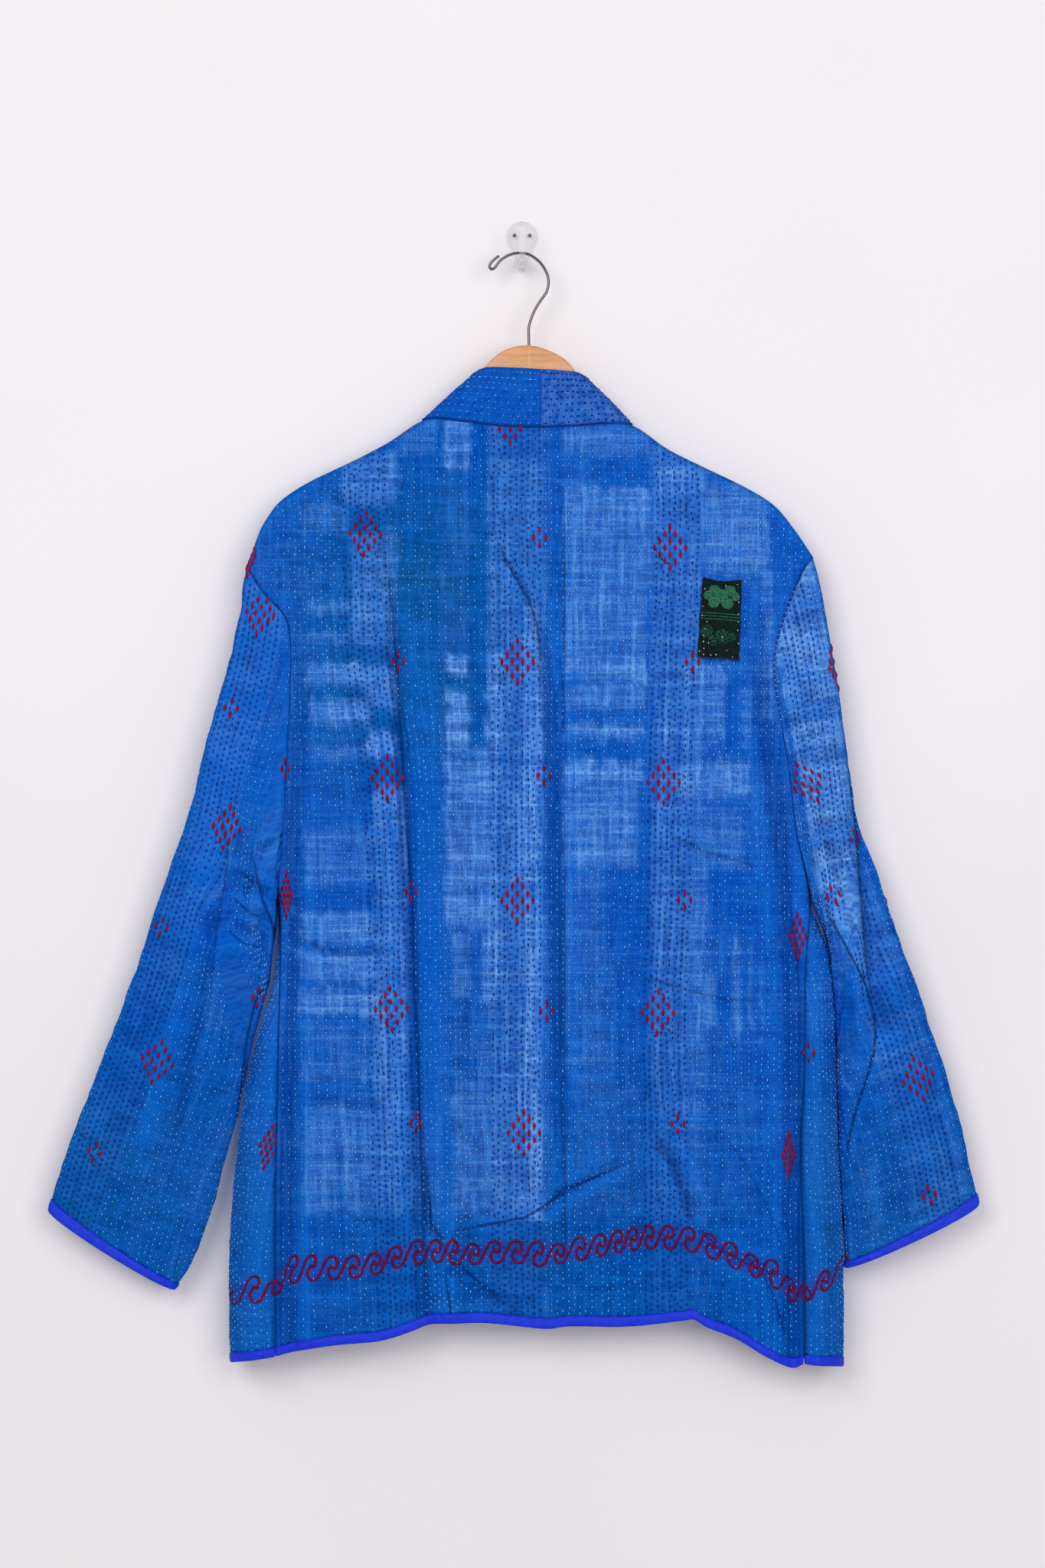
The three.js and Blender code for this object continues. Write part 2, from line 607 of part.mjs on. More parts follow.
// Band: two lengths of cloth joined behind the neck, each running round it and down its front.
function stripBetween(first, second) {
  const rails = [first, second].map((points) => new THREE.CatmullRomCurve3(
    points.map((p) => new THREE.Vector3(...p)), false, 'catmullrom', 0.5,
  ));
  return (u, v) => rails[0].getPoint(u).lerp(rails[1].getPoint(u), v);
}
const bandColumns = 34;
addPiece('collar_band_left', clothWallOver(stripBetween(bandSewnLeft, bandFreeLeft), {
  columns: bandColumns, rows: 2, wall: bandWall,
}), colours.collarLeft, 0.9);
addPiece('collar_band_right', clothWallOver(stripBetween(bandFreeRight, bandSewnRight), {
  columns: bandColumns, rows: 2, wall: bandWall,
}), colours.collarRight, 0.9);

// Patch sewn on the right shoulder blade, laid over the back's own surface.
const patchFlat = patchCorners.map(([x, z]) => new THREE.Vector3(x, 0, z));
function patchSurface(u, v) {
  const top = patchFlat[0].clone().lerp(patchFlat[1], u);
  const place = top.lerp(patchFlat[3].clone().lerp(patchFlat[2], u), v);
  place.y = backFaceDepth(place.x, place.z);
  return place;
}
addPiece('patch', clothWallOver(patchSurface, {
  columns: 4, rows: 8, wall: patchWall, lift: patchLift + patchWall,
}), colours.patch, 0.95);

// Hanger: one flat board with a crowned middle and two sloping arms with round ends.
const hangerTop = [
  [-211, -243], [-203, -236], [-180, -220], [-145, -204], [-112, -188], [-86, -178], [-63, -154],
  [-44, -131], [-36, -121.5], [-27.7, -111.5], [-14.5, -101.6], [5.3, -97.7], [25, -103], [38.3, -110.9],
  [47, -121.4], [56, -132], [74, -155], [95, -180], [124, -192], [160, -210], [190, -225], [214, -240],
  [222, -247],
];
const hangerUnderside = [
  [226, -256], [222, -266], [211, -268], [170, -246], [110, -214], [60, -184], [30, -168], [6, -163],
  [-18, -168], [-48, -184], [-98, -212], [-158, -242], [-200, -263], [-211, -262], [-216, -252],
];
const hangerOutline = new THREE.Shape();
const hangerPath = new THREE.CatmullRomCurve3(
  hangerTop.concat(hangerUnderside).map(([x, z]) => new THREE.Vector3(x, z, 0)), true, 'centripetal',
);
const hangerSteps = 96;
hangerOutline.setFromPoints(Array.from({ length: hangerSteps }, (_, i) => {
  const place = hangerPath.getPoint(i / hangerSteps);
  return new THREE.Vector2(place.x, place.y);
}));
const edgeRound = 1.5;
const hangerBoard = new THREE.ExtrudeGeometry(hangerOutline, {
  depth: hangerThickness - 2 * edgeRound, bevelEnabled: true, bevelThickness: edgeRound,
  bevelSize: edgeRound, bevelOffset: -edgeRound, bevelSegments: 1,
});
hangerBoard.translate(0, 0, -(hangerThickness - 2 * edgeRound) / 2);
hangerBoard.rotateX(Math.PI / 2);
hangerBoard.translate(0, hangerPlane, 0);

function mergedSolid(geometry) {
  const bare = geometry.clone();
  bare.deleteAttribute('normal');
  bare.deleteAttribute('uv');
  return mergeVertices(bare, 1e-3);
}
addPiece('hanger_wood', mergedSolid(hangerBoard), colours.wood, 0.45);

// Hook of the hanger: round wire rising from the board, over the wall hook, to a small eye.
const wirePath = [
  [5.9, -97.2], [5.7, -90], [5.6, -83.8], [6.6, -77.9], [10.6, -67.3], [15.8, -58.7], [21.1, -50.8],
  [22.8, -42.9], [21.8, -36.3], [17.2, -27.7], [11.9, -22.4], [5.3, -18.5], [0, -17.5], [-6.6, -17.8],
  [-12.5, -19.8], [-17.8, -23.1], [-21.2, -26.8], [-23.8, -30.3], [-26.4, -31.4], [-28.2, -29.4],
  [-27.1, -26.2], [-24.3, -23.3], [-21.5, -20.9],
];
const wireSteps = 48;
const wireSection = new THREE.Shape();
wireSection.absarc(0, 0, wireDiameter / 2, 0, Math.PI * 2, false);
const wire = new THREE.ExtrudeGeometry(wireSection, {
  steps: wireSteps, curveSegments: 4, bevelEnabled: false,
  extrudePath: new THREE.CatmullRomCurve3(wirePath.map(([x, z]) => new THREE.Vector3(x, hangerPlane, z))),
});
addPiece('hanger_hook', mergedSolid(wire), colours.chrome, 0.2, 1);

// Wall hook: a teardrop plate with an arm that runs out under the wire and turns up before it.
const plateTip = -31;
const plateDip = Math.PI * 0.12;
const plateShape = new THREE.Shape();
plateShape.absarc(0, 0, plateRadius, -plateDip, Math.PI + plateDip, false);
plateShape.quadraticCurveTo(-5, -17, -2.6, plateTip + 2);
plateShape.quadraticCurveTo(0, plateTip - 1, 2.6, plateTip + 2);
plateShape.quadraticCurveTo(5, -17, plateRadius * Math.cos(plateDip), -plateRadius * Math.sin(plateDip));
const plate = new THREE.ExtrudeGeometry(plateShape, {
  depth: plateThickness, bevelEnabled: false, curveSegments: 20,
});
plate.rotateX(Math.PI / 2);

const cradleTop = -19.1;
const armWidth = 5.4;
const armShape = new THREE.Shape();
armShape.moveTo(1.5, -27);
armShape.lineTo(1.5, -20);
armShape.lineTo(14, cradleTop);
armShape.lineTo(25, cradleTop);
armShape.lineTo(27, -12);
armShape.lineTo(28.4, 4);
armShape.quadraticCurveTo(30.2, 7, 31.6, 4);
armShape.lineTo(31.4, -14);
armShape.quadraticCurveTo(30.5, -26, 22, -28.5);
armShape.lineTo(8, -29);
armShape.closePath();
const arm = new THREE.ExtrudeGeometry(armShape, { depth: armWidth, bevelEnabled: false, curveSegments: 8 });
arm.rotateX(Math.PI / 2);
arm.rotateZ(-Math.PI / 2);
arm.translate(armWidth / 2, 0, 0);

function asManifold(geometry) {
  const bare = mergedSolid(geometry);
  return new wasm.Manifold(new wasm.Mesh({
    numProp: 3,
    vertProperties: new Float32Array(bare.attributes.position.array),
    triVerts: new Uint32Array(bare.index.array),
  }));
}
function fromManifold(solid) {
  const { numProp, vertProperties, triVerts } = solid.getMesh();
  const geometry = new THREE.BufferGeometry();
  const places = [];
  for (let i = 0; i < vertProperties.length; i += numProp) {
    places.push(vertProperties[i], vertProperties[i + 1], vertProperties[i + 2]);
  }
  geometry.setAttribute('position', new THREE.Float32BufferAttribute(places, 3));
  geometry.setIndex(Array.from(triVerts));
  return geometry;
}
addPiece('wall_hook', fromManifold(asManifold(plate).add(asManifold(arm))), colours.plastic, 0.15);

const nailPlaces = [['left', -6.6], ['right', 6.6]];
const nailHeadRadius = 1.7;
const nailHeadHeight = 1.2;
const nailGap = 0.2;
const nailRise = 0.7;
const nailTaper = 0.8;
for (const [name, x] of nailPlaces) {
  const head = new THREE.CylinderGeometry(nailHeadRadius, nailHeadRadius * nailTaper, nailHeadHeight, 16);
  head.translate(x, -plateThickness - nailGap - nailHeadHeight / 2, nailRise);
  addPiece(`wall_hook_nail_${name}`, mergedSolid(head), colours.chrome, 0.35, 1);
}

export default jacket;
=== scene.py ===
import math

import bpy
import numpy as np
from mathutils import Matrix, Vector
from mathutils.bvhtree import BVHTree


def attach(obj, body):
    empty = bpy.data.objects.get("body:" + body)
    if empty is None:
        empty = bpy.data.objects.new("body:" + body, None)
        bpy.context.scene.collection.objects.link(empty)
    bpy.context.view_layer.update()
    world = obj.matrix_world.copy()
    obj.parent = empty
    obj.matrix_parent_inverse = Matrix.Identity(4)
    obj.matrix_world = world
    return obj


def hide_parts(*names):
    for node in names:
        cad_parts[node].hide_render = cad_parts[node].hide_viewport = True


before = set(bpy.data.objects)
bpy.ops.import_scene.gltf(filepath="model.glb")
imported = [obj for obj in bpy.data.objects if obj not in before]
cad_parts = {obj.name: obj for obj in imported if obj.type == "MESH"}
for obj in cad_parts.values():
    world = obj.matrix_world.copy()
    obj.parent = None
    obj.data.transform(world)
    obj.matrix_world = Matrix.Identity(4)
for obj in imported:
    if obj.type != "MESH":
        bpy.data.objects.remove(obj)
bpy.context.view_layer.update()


# The view of the picture: square on to the jacket's back and far off, so that nothing is drawn out
# of shape. Two wide soft lights, and a pale wall that runs down into a pale floor. The wall is there
# only for what looks at its front, so that the jacket's fronts are lit and seen from behind.
view_data = bpy.data.cameras.new("square_on")
view_data.lens = 80
camera = bpy.data.objects.new("square_on", view_data)
camera.location = (0.0003, -3.031, -0.4759)
camera.rotation_euler = (math.radians(90), 0, 0)
bpy.context.scene.collection.objects.link(camera)
bpy.context.scene.camera = camera
bpy.context.scene.view_settings.view_transform = "Standard"

for light_name, light_place, light_size, light_power in (
    ("window_light", (-1.5, -3.5, 0.9), 2.0, 59),
    ("fill_light", (1.5, -3.6, 0.1), 2.6, 58),
):
    light_data = bpy.data.lights.new(light_name, "AREA")
    light_data.size = light_size
    light_data.energy = light_power
    light = bpy.data.objects.new(light_name, light_data)
    light.location = light_place
    light.rotation_euler = (Vector((0, 0, -0.5)) - light.location).to_track_quat("-Z", "Y").to_euler()
    bpy.context.scene.collection.objects.link(light)

room = bpy.data.worlds.new("pale_room")
room.use_nodes = True
room.node_tree.nodes["Background"].inputs["Color"].default_value = (0.94, 0.93, 0.95, 1)
room.node_tree.nodes["Background"].inputs["Strength"].default_value = 0.45
bpy.context.scene.world = room


def add_node(tree, kind, inputs=None, **settings):
    """A node with its settings, its inputs joined to sockets or set to values."""
    made = tree.nodes.new(kind)
    for key, value in settings.items():
        setattr(made, key, value)
    for key, value in (inputs or {}).items():
        if isinstance(value, bpy.types.NodeSocket):
            tree.links.new(value, made.inputs[key])
        else:
            made.inputs[key].default_value = value
    return made


def sums(tree, operation, *values, clamp=False):
    """The result of a math node on sockets or numbers."""
    inputs = dict(enumerate(values))
    return add_node(tree, "ShaderNodeMath", inputs, operation=operation, use_clamp=clamp).outputs[0]


def blend_colours(tree, factor, first, second, mode="MIX"):
    """The result of mixing two colours."""
    made = add_node(tree, "ShaderNodeMix", {"Factor": factor}, data_type="RGBA", blend_type=mode)
    for socket, value in (("A", first), ("B", second)):
        target = [s for s in made.inputs if s.name == socket and s.type == "RGBA"][0]
        if isinstance(value, bpy.types.NodeSocket):
            tree.links.new(value, target)
        else:
            target.default_value = (*value, 1)
    return [s for s in made.outputs if s.type == "RGBA"][0]


def new_material(name):
    """An empty node material with its output node."""
    made = bpy.data.materials.new(name)
    made.use_nodes = True
    made.node_tree.nodes.clear()
    return made, made.node_tree, made.node_tree.nodes.new("ShaderNodeOutputMaterial")


def noise(tree, place, scale, detail, **more):
    """Soft noise from 0 to 1 at a place."""
    inputs = {"Vector": place, "Scale": scale, "Detail": detail, **more}
    return add_node(tree, "ShaderNodeTexNoise", inputs).outputs["Fac"]


def bumped(tree, height, distance, strength):
    """The normal of a surface that a height lifts, its distance in metres."""
    inputs = {"Height": height, "Distance": distance, "Strength": strength}
    return add_node(tree, "ShaderNodeBump", inputs).outputs[0]


def mesh_piece(name, places, faces, material, smooth=True):
    """A mesh object in the row frame, its points given in millimetres."""
    mesh = bpy.data.meshes.new(name)
    mesh.from_pydata((np.asarray(places) * 0.001).tolist(), [], [list(map(int, f)) for f in faces])
    mesh.materials.append(material)
    if smooth:
        mesh.shade_smooth()
    piece = bpy.data.objects.new(name, mesh)
    bpy.context.scene.collection.objects.link(piece)
    return piece


wall_paint, tree, output = new_material("wall_paint")
place = add_node(tree, "ShaderNodeTexCoord").outputs["Object"]
rough_coat = noise(tree, place, 260, 3)
soft_patches = noise(tree, place, 2.2, 2)
paint = add_node(tree, "ShaderNodeBsdfPrincipled", {
    "Base Color": blend_colours(tree, soft_patches, (0.83, 0.785, 0.815), (0.90, 0.865, 0.885)),
    "Roughness": 0.85, "Normal": bumped(tree, rough_coat, 0.0004, 0.4),
})
ray = add_node(tree, "ShaderNodeLightPath")
facing_away = add_node(tree, "ShaderNodeNewGeometry").outputs["Backfacing"]
seen = sums(tree, "MAXIMUM", ray.outputs["Is Camera Ray"], ray.outputs["Is Glossy Ray"])
seen_from_front = sums(tree, "MULTIPLY", seen, sums(tree, "SUBTRACT", 1, facing_away))
clear = add_node(tree, "ShaderNodeBsdfTransparent")
mixed = add_node(tree, "ShaderNodeMixShader", {
    0: seen_from_front, 1: clear.outputs[0], 2: paint.outputs[0],
})
tree.links.new(mixed.outputs[0], output.inputs["Surface"])

wall_behind = 0.5
wall_top = 1800
wall_reach = 3000
cove_radius = 300
floor_level = -1700
floor_front = -4200
wall_profile = [(wall_behind, wall_top)]
for turn in np.linspace(0, math.pi / 2, 12):
    forward, upward = 1 - math.cos(turn), 1 - math.sin(turn)
    wall_profile.append((wall_behind - cove_radius * forward, floor_level + cove_radius * upward))
wall_profile.append((floor_front, floor_level))
wall_points = [(x, y, z) for y, z in wall_profile for x in (-wall_reach, wall_reach)]
wall_faces = [(2 * i, 2 * i + 2, 2 * i + 3, 2 * i + 1) for i in range(len(wall_profile) - 1)]
wall = mesh_piece("pale_wall_and_floor", wall_points, wall_faces, wall_paint)


# Back: one panel of several layers of soft old cotton, quilted all over with rows of running stitch.
# It hangs from the shoulders over the hanger, with the long soft folds of the picture. Its outline and
# depth follow the same lines as its solid, in millimetres from the wall hook.
shoulder_left = [(-85, -162), (-117, -182), (-148, -198), (-185, -216), (-209, -232),
                 (-220, -246), (-227, -259), (-232, -273), (-238, -288)]
neck_seam = [(-85, -162), (-71, -162), (-44, -165), (-18, -168), (12, -169), (42, -168), (71, -166),
             (94, -166)]
shoulder_right = [(94, -166), (126, -187), (158, -203), (193, -220), (218, -236), (236, -258), (251, -280)]
armhole_left = [(-238, -288), (-222, -312), (-203, -333), (-199, -354), (-199, -394),
                (-201, -434), (-203, -486), (-207, -533), (-211, -579)]
armhole_right = [(251, -280), (243, -290), (231, -318), (221, -346), (216, -374), (218, -397),
                 (224, -434), (230, -473), (234, -513), (241, -546), (249, -579)]
side_seam_left = [(-211, -579), (-208.5, -618), (-209, -724), (-211, -830), (-211, -966)]
side_seam_right = [(249, -579), (243, -625), (241, -724), (238, -790), (240, -856), (241, -972)]
back_hem = [(-211, -966), (-186, -960), (-160, -956), (-120, -952), (-94, -944), (-77, -938), (-54, -937),
            (-31, -937), (-1, -940), (22, -942), (38, -940), (91, -940), (137, -935), (147, -934),
            (157, -940), (183, -950), (210, -966), (233, -976), (241, -972)]
turn_left = [(-280, -330), (-450, -268), (-520, -243), (-560, -221), (-579, -211), (-618, -211), (-651, -216),
             (-701, -230), (-731, -237), (-770, -243), (-810, -248), (-849, -251), (-889, -253), (-990, -251)]
turn_right = [(-280, 340), (-450, 290), (-520, 271), (-560, 256), (-579, 249), (-600, 257), (-622, 265),
              (-658, 269), (-724, 270.5), (-783, 272), (-830, 274), (-882, 276), (-990, 277)]
turn_radius = 38
turn_depth = -28
viewer_side = turn_depth + 4
underarm_share = 0.45
back_depth = [(0, -33), (30, -35), (140, -44), (290, -51), (460, -54), (640, -53), (820, -50)]
front_depth = [(0, -12), (40, -10), (160, -8), (400, -7), (820, -8)]
ridge_depth = -22.5
ridge_radius = 9
neck_half_width = 80
neck_middle = 4.5
neck_blend = 12

# Folds, each a path, a width and how far it stands out: first those of the solid, then fine creases.
folds = [
    ([(-122, -250), (-112, -330), (-105, -434), (-100, -526), (-95, -640), (-90, -760), (-84, -922),
      (-80, -1040)], 9, -5),
    ([(-88, -290), (-79, -434), (-74, -566), (-69, -757), (-63, -942), (-60, -1040)], 17, 4.5),
    ([(-20, -280), (-3, -308), (13, -335), (22, -394), (27, -526), (30, -724), (33, -790)], 9, -3.5),
    ([(206, -300), (203, -360), (207, -420), (218, -480), (224, -560), (231, -640), (232, -790),
      (233, -1060)], 11, -9),
    ([(252, -610), (254, -690), (253, -790), (254, -1060)], 11, 4),
    ([(-190, -300), (-190, -394), (-195, -480), (-199, -560), (-200, -700), (-201, -850),
      (-201, -1060)], 11, -8),
    ([(-226, -660), (-231, -760), (-232, -1060)], 13, 3.5),
    ([(112, -723), (140, -769), (155, -807), (176, -845), (196, -930), (206, -1020)], 26, 5),
    ([(-54, -870), (-21, -857), (19, -840), (50, -814), (88, -790)], 24, 4),
    ([(-215, -300), (-214, -440), (-217, -520), (-224, -572), (-232, -640)], 15, 7),
    ([(-238, -350), (-243, -430), (-250, -500), (-254, -560), (-240, -610)], 11, -5),
    ([(-268, -500), (-285, -580), (-300, -660), (-318, -740), (-330, -820)], 18, 5),
    ([(243, -340), (250, -440), (257, -500), (264, -550), (276, -605), (288, -650), (291, -692),
      (284, -735), (278, -800)], 17, 9),
    ([(281, -430), (289, -500), (296, -566), (302, -620), (305, -670), (296, -720)], 10, -6),
    ([(312, -600), (326, -670), (340, -750), (348, -830)], 20, 5),
    ([(318, -670), (308, -735), (300, -790), (302, -860)], 13, 4),
]
fine_creases = [
    ([(-20, -279), (-10, -290), (-1, -302), (8, -322), (13, -346)], 3.5, -1.9),
    ([(-26, -284), (-14, -298), (-5, -314), (2, -340)], 5, 1.1),
    ([(12, -844), (30, -826), (55, -813), (72, -803), (90, -794)], 4.5, -2.2),
    ([(16, -853), (38, -835), (62, -822), (92, -806)], 6, 1.4),
    ([(115, -777), (128, -800), (140, -830), (146, -853)], 6, -3.2),
    ([(126, -772), (141, -798), (153, -826), (164, -852)], 6, 1.8),
    ([(146, -853), (166, -872), (196, -888), (230, -899)], 7, -2.2),
    ([(-116, -290), (-111, -330), (-105, -416), (-100, -504), (-94, -574), (-92, -660), (-89, -724),
      (-83, -890)], 3.6, -2),
    ([(35, -169), (35.5, -400), (36, -700), (37, -936)], 2.6, -0.9),
    ([(-180, -205), (-150, -236), (-128, -270)], 9, -1.1),
    ([(150, -205), (176, -236), (196, -276), (204, -320)], 10, -1.4),
    ([(118, -380), (160, -386), (196, -392)], 7, -0.8),
    ([(122, -520), (158, -534), (200, -546)], 6, -0.9),
    ([(96, -640), (140, -652), (188, -662)], 7, -0.9),
    ([(-188, -610), (-150, -622), (-112, -618)], 7, -0.8),
    ([(-184, -742), (-148, -752), (-108, -748)], 7, -0.9),
    ([(-60, -884), (-30, -872), (8, -866)], 6, -1.2),
    ([(-184, -905), (-150, -898), (-112, -902)], 8, -0.9),
    ([(196, -880), (214, -910), (226, -950)], 6, -1.8),
    ([(-240, -548), (-228, -560), (-216, -566)], 4, -2.2),
    ([(-244, -572), (-232, -586), (-220, -592)], 4, -2),
    ([(-250, -600), (-238, -612), (-226, -616)], 4.5, -1.8),
    ([(-252, -528), (-240, -536), (-222, -538)], 4, -1.4),
    ([(226, -590), (236, -612), (238, -640)], 4, -2),
    ([(-262, -560), (-272, -640), (-286, -720), (-300, -800)], 7, -1.7),
    ([(-296, -620), (-316, -700), (-340, -790)], 8, -1.3),
    ([(270, -500), (276, -560), (286, -610), (298, -650)], 5, -1.6),
    ([(322, -560), (338, -640), (352, -720), (362, -800)], 8, -1.5),
    ([(-250, -330), (-240, -352), (-228, -372)], 6, -1.4),
    ([(256, -310), (262, -340), (262, -372)], 6, -1.4),
    ([(283, -455), (289, -500), (293, -560), (297, -620), (301, -652)], 3.5, -4.5),
    ([(276, -455), (282, -500), (286, -560), (290, -620), (296, -652)], 6, 3.2),
    ([(203, -380), (207, -440), (217, -500), (227, -560), (231, -620)], 6, -2.6),
    ([(-82, -800), (-78, -850), (-66, -872)], 6, -2.4),
    ([(-70, -878), (-40, -900), (-12, -922), (4, -936)], 12, -3.0),
    ([(-66, -896), (-62, -920), (-58, -938)], 7, 1.6),
    ([(-196, -620), (-200, -700), (-204, -800), (-205, -950)], 4, -1.8),
]

# Painted shade along sharp creases and the gaps between parts: each entry is a path and how dark its painted
# shade is drawn.
crease_shade_lines = [
    ([(-124, -240), (-116, -290), (-111, -330), (-105, -416), (-100, -504), (-94, -574), (-92, -660),
      (-89, -724), (-83, -890), (-80, -1000)], .55),
    ([(-22, -264), (-15, -281), (-6, -299), (6, -318), (13, -340), (17, -374)], .6),
    ([(29, -380), (31, -500), (33, -700), (36, -960)], .25),
    ([(35.5, -160), (36, -700), (37, -960)], .28),
    ([(-234, -516), (-227, -556), (-222, -576), (-213, -598), (-212, -620), (-216, -642), (-229, -662),
      (-237, -697), (-243, -750), (-250, -800)], .7),
    ([(-72, -860), (-29, -852), (2, -846), (22, -834.5), (38, -821.5), (64, -811), (100, -795)], .7),
    ([(104, -752), (115, -777), (128, -800), (140, -830), (150, -866)], .28),
    ([(164, -764), (190, -800), (208, -834), (222, -870), (228, -895), (229, -970)], .3),
    ([(146, -850), (166, -872), (196, -888), (236, -902)], .5),
    ([(-82, -800), (-78, -850), (-64, -876), (-40, -900), (-8, -926)], .6),
    ([(-66, -890), (-62, -920), (-58, -948)], .6),
    ([(-246, -548), (-230, -560), (-212, -567)], .7),
    ([(-250, -572), (-234, -586), (-216, -593)], .6),
    ([(-256, -598), (-240, -612), (-222, -618)], .5),
    ([(-258, -526), (-240, -536), (-218, -540)], .4),
    ([(279, -420), (286, -500), (290, -560), (294, -620), (301, -672)], .6),
    ([(252, -560), (262, -588), (272, -606), (285, -630), (295, -650), (301, -670), (303, -688),
      (301, -706), (295, -728), (286, -756), (280, -785), (278, -820)], .75),
    ([(226, -560), (234, -610), (238, -660), (238, -790), (236, -960)], .35),
    ([(-262, -470), (-252, -540), (-262, -600), (-270, -680)], .4),
    ([(118, -516), (158, -534), (206, -548)], .3),
    ([(90, -636), (140, -652), (192, -664)], .3),
    ([(-192, -608), (-150, -622), (-108, -617)], .25),
    ([(196, -876), (214, -910), (228, -958)], .5),
]
fold_fade = 0.18
crease_reach = 12
off_all_creases = 40.0


def smooth_share(value, start, end):
    """0 before start, 1 after end, and a soft rise between them."""
    t = np.clip((value - start) / (end - start), 0, 1)
    return t * t * (3 - 2 * t)


def spline_points(stations, steps, power, closed=False):
    """Points of a Catmull-Rom curve; power 0.5 spaces it by the distances, 0 evenly."""
    stations = np.array([p if len(p) == 3 else (p[0], 0, p[1]) for p in stations], float)
    if closed:
        ends = np.vstack([stations[-1:], stations, stations[:2]])
    else:
        ends = np.vstack([2 * stations[0] - stations[1], stations, 2 * stations[-1] - stations[-2]])
    spans = np.linalg.norm(np.diff(ends, axis=0), axis=1) ** power
    t = np.linspace(0, 1, steps, endpoint=False)[:, None]
    places = []
    for i in range(len(ends) - 3):
        before, start, end, after = ends[i:i + 4]
        d0, d1, d2 = spans[i:i + 3]
        leave = ((start - before) / d0 - (end - before) / (d0 + d1) + (end - start) / d1) * d1
        arrive = ((end - start) / d1 - (after - start) / (d1 + d2) + (after - end) / d2) * d1
        bend = 3 * (end - start) - 2 * leave - arrive
        places.append(start + leave * t + bend * t ** 2 + (2 * (start - end) + leave + arrive) * t ** 3)
    return np.vstack(places if closed else places + [stations[-1:]])


def run_along(places):
    """How far along a line each of its places lies."""
    return np.concatenate([[0], np.cumsum(np.linalg.norm(np.diff(places, axis=0), axis=1))])


def unit(vectors):
    return vectors / np.linalg.norm(vectors, axis=-1, keepdims=True)


def read_curve(places, even_length=True):
    """A function from a share of the curve, 0 to 1, to its place."""
    if even_length:
        shares = run_along(places)
        shares /= shares[-1]
    else:
        shares = np.linspace(0, 1, len(places))
    return lambda share: np.stack([np.interp(share, shares, places[:, k]) for k in range(3)], axis=-1)


def curve_through(stations):
    return read_curve(spline_points(stations, 60, 0.5))


def profile(pairs):
    """A smooth function between pairs of place and value."""
    places, values = np.array(sorted(pairs), float).T
    last = len(places) - 1
    before = np.maximum(np.arange(last + 1) - 1, 0)
    after = np.minimum(np.arange(last + 1) + 1, last)
    slopes = (values[after] - values[before]) / (places[after] - places[before])

    def read(place):
        place = np.clip(place, places[0], places[-1])
        i = np.clip(np.searchsorted(places, place, side="right") - 1, 0, last - 1)
        span = places[i + 1] - places[i]
        t = (place - places[i]) / span
        rise = t * t * (3 - 2 * t)
        pull = t * (1 - t) * ((1 - t) * slopes[i] - t * slopes[i + 1]) * span
        return values[i] * (1 - rise) + values[i + 1] * rise + pull

    return read


def off_path(path, x, z):
    """How far off a path x, z lies, less than 0 on its left, and how far its fold has grown there."""
    nearest, along, run = np.full_like(x, 1e9), np.zeros_like(x), 0
    for (x0, z0), (x1, z1) in zip(path, path[1:]):
        dx, dz = x1 - x0, z1 - z0
        length = math.hypot(dx, dz)
        t = np.clip(((x - x0) * dx + (z - z0) * dz) / length ** 2, 0, 1)
        off = np.hypot(x - x0 - t * dx, z - z0 - t * dz)
        off = np.where((x - x0) * dz - (z - z0) * dx > 0, -off, off)
        closer = np.abs(off) < np.abs(nearest)
        nearest = np.where(closer, off, nearest)
        along = np.where(closer, run + t * length, along)
        run += length
    along = along / run
    return nearest, smooth_share(along, 0, fold_fade) * (1 - smooth_share(along, 1 - fold_fade, 1))


def fold_rise(listed, x, z):
    """How far the listed folds stand out at x, z."""
    rise = np.zeros_like(x)
    for path, width, height in listed:
        off, grown = off_path(path, x, z)
        rise += height * grown * np.exp(-((off / width) ** 2))
    return rise


def quarter_round(share):
    return np.sqrt(1 - (1 - np.clip(share, 0, 1)) ** 2)


top_line = profile(shoulder_left[::-1] + neck_seam[1:] + shoulder_right[1:])
left_turn = profile(turn_left)
right_turn = profile(turn_right)
back_depth_at = profile(back_depth)
front_depth_at = profile(front_depth)


def side_round(x, z):
    """1 on the flat of a panel, falling to 0 where it turns round the jacket's sides."""
    from_left, from_right = x - left_turn(z), right_turn(z) - x
    return quarter_round(from_left / turn_radius) * quarter_round(from_right / turn_radius)


def back_face_depth(x, z):
    """Depth of the outer face of the cloth that hangs on the viewer's side."""
    drop = top_line(x) - z
    around = side_round(x, z)
    rise = fold_rise(folds, x, z) + fold_rise(fine_creases, x, z)
    hanging = turn_depth + (back_depth_at(drop) - turn_depth) * around - rise * around
    on_shoulder = smooth_share(np.abs(x - neck_middle), neck_half_width, neck_half_width + neck_blend)
    roll = 1 - (1 - quarter_round(drop / ridge_radius)) * on_shoulder
    return ridge_depth + (hanging - ridge_depth) * roll


def between_edges(top, bottom, left, right, u, v):
    """A surface between four edges, u across and v down."""
    a, b = u[..., None], v[..., None]
    place = top(u) * (1 - b) + bottom(u) * b + left(v) * (1 - a) + right(v) * a
    place = place - top(0) * (1 - a) * (1 - b) - top(1) * a * (1 - b)
    return place - bottom(0) * (1 - a) * b - bottom(1) * a * b


def panel_edge(side):
    """The armhole down to the underarm, then the side seam."""
    upper = curve_through(armhole_left if side < 0 else armhole_right)
    lower = curve_through(side_seam_left if side < 0 else side_seam_right)

    def read(v):
        v = np.asarray(v, float)
        above = (v < underarm_share)[..., None]
        below_share = (v - underarm_share) / (1 - underarm_share)
        return np.where(above, upper(v / underarm_share), lower(below_share))

    return read


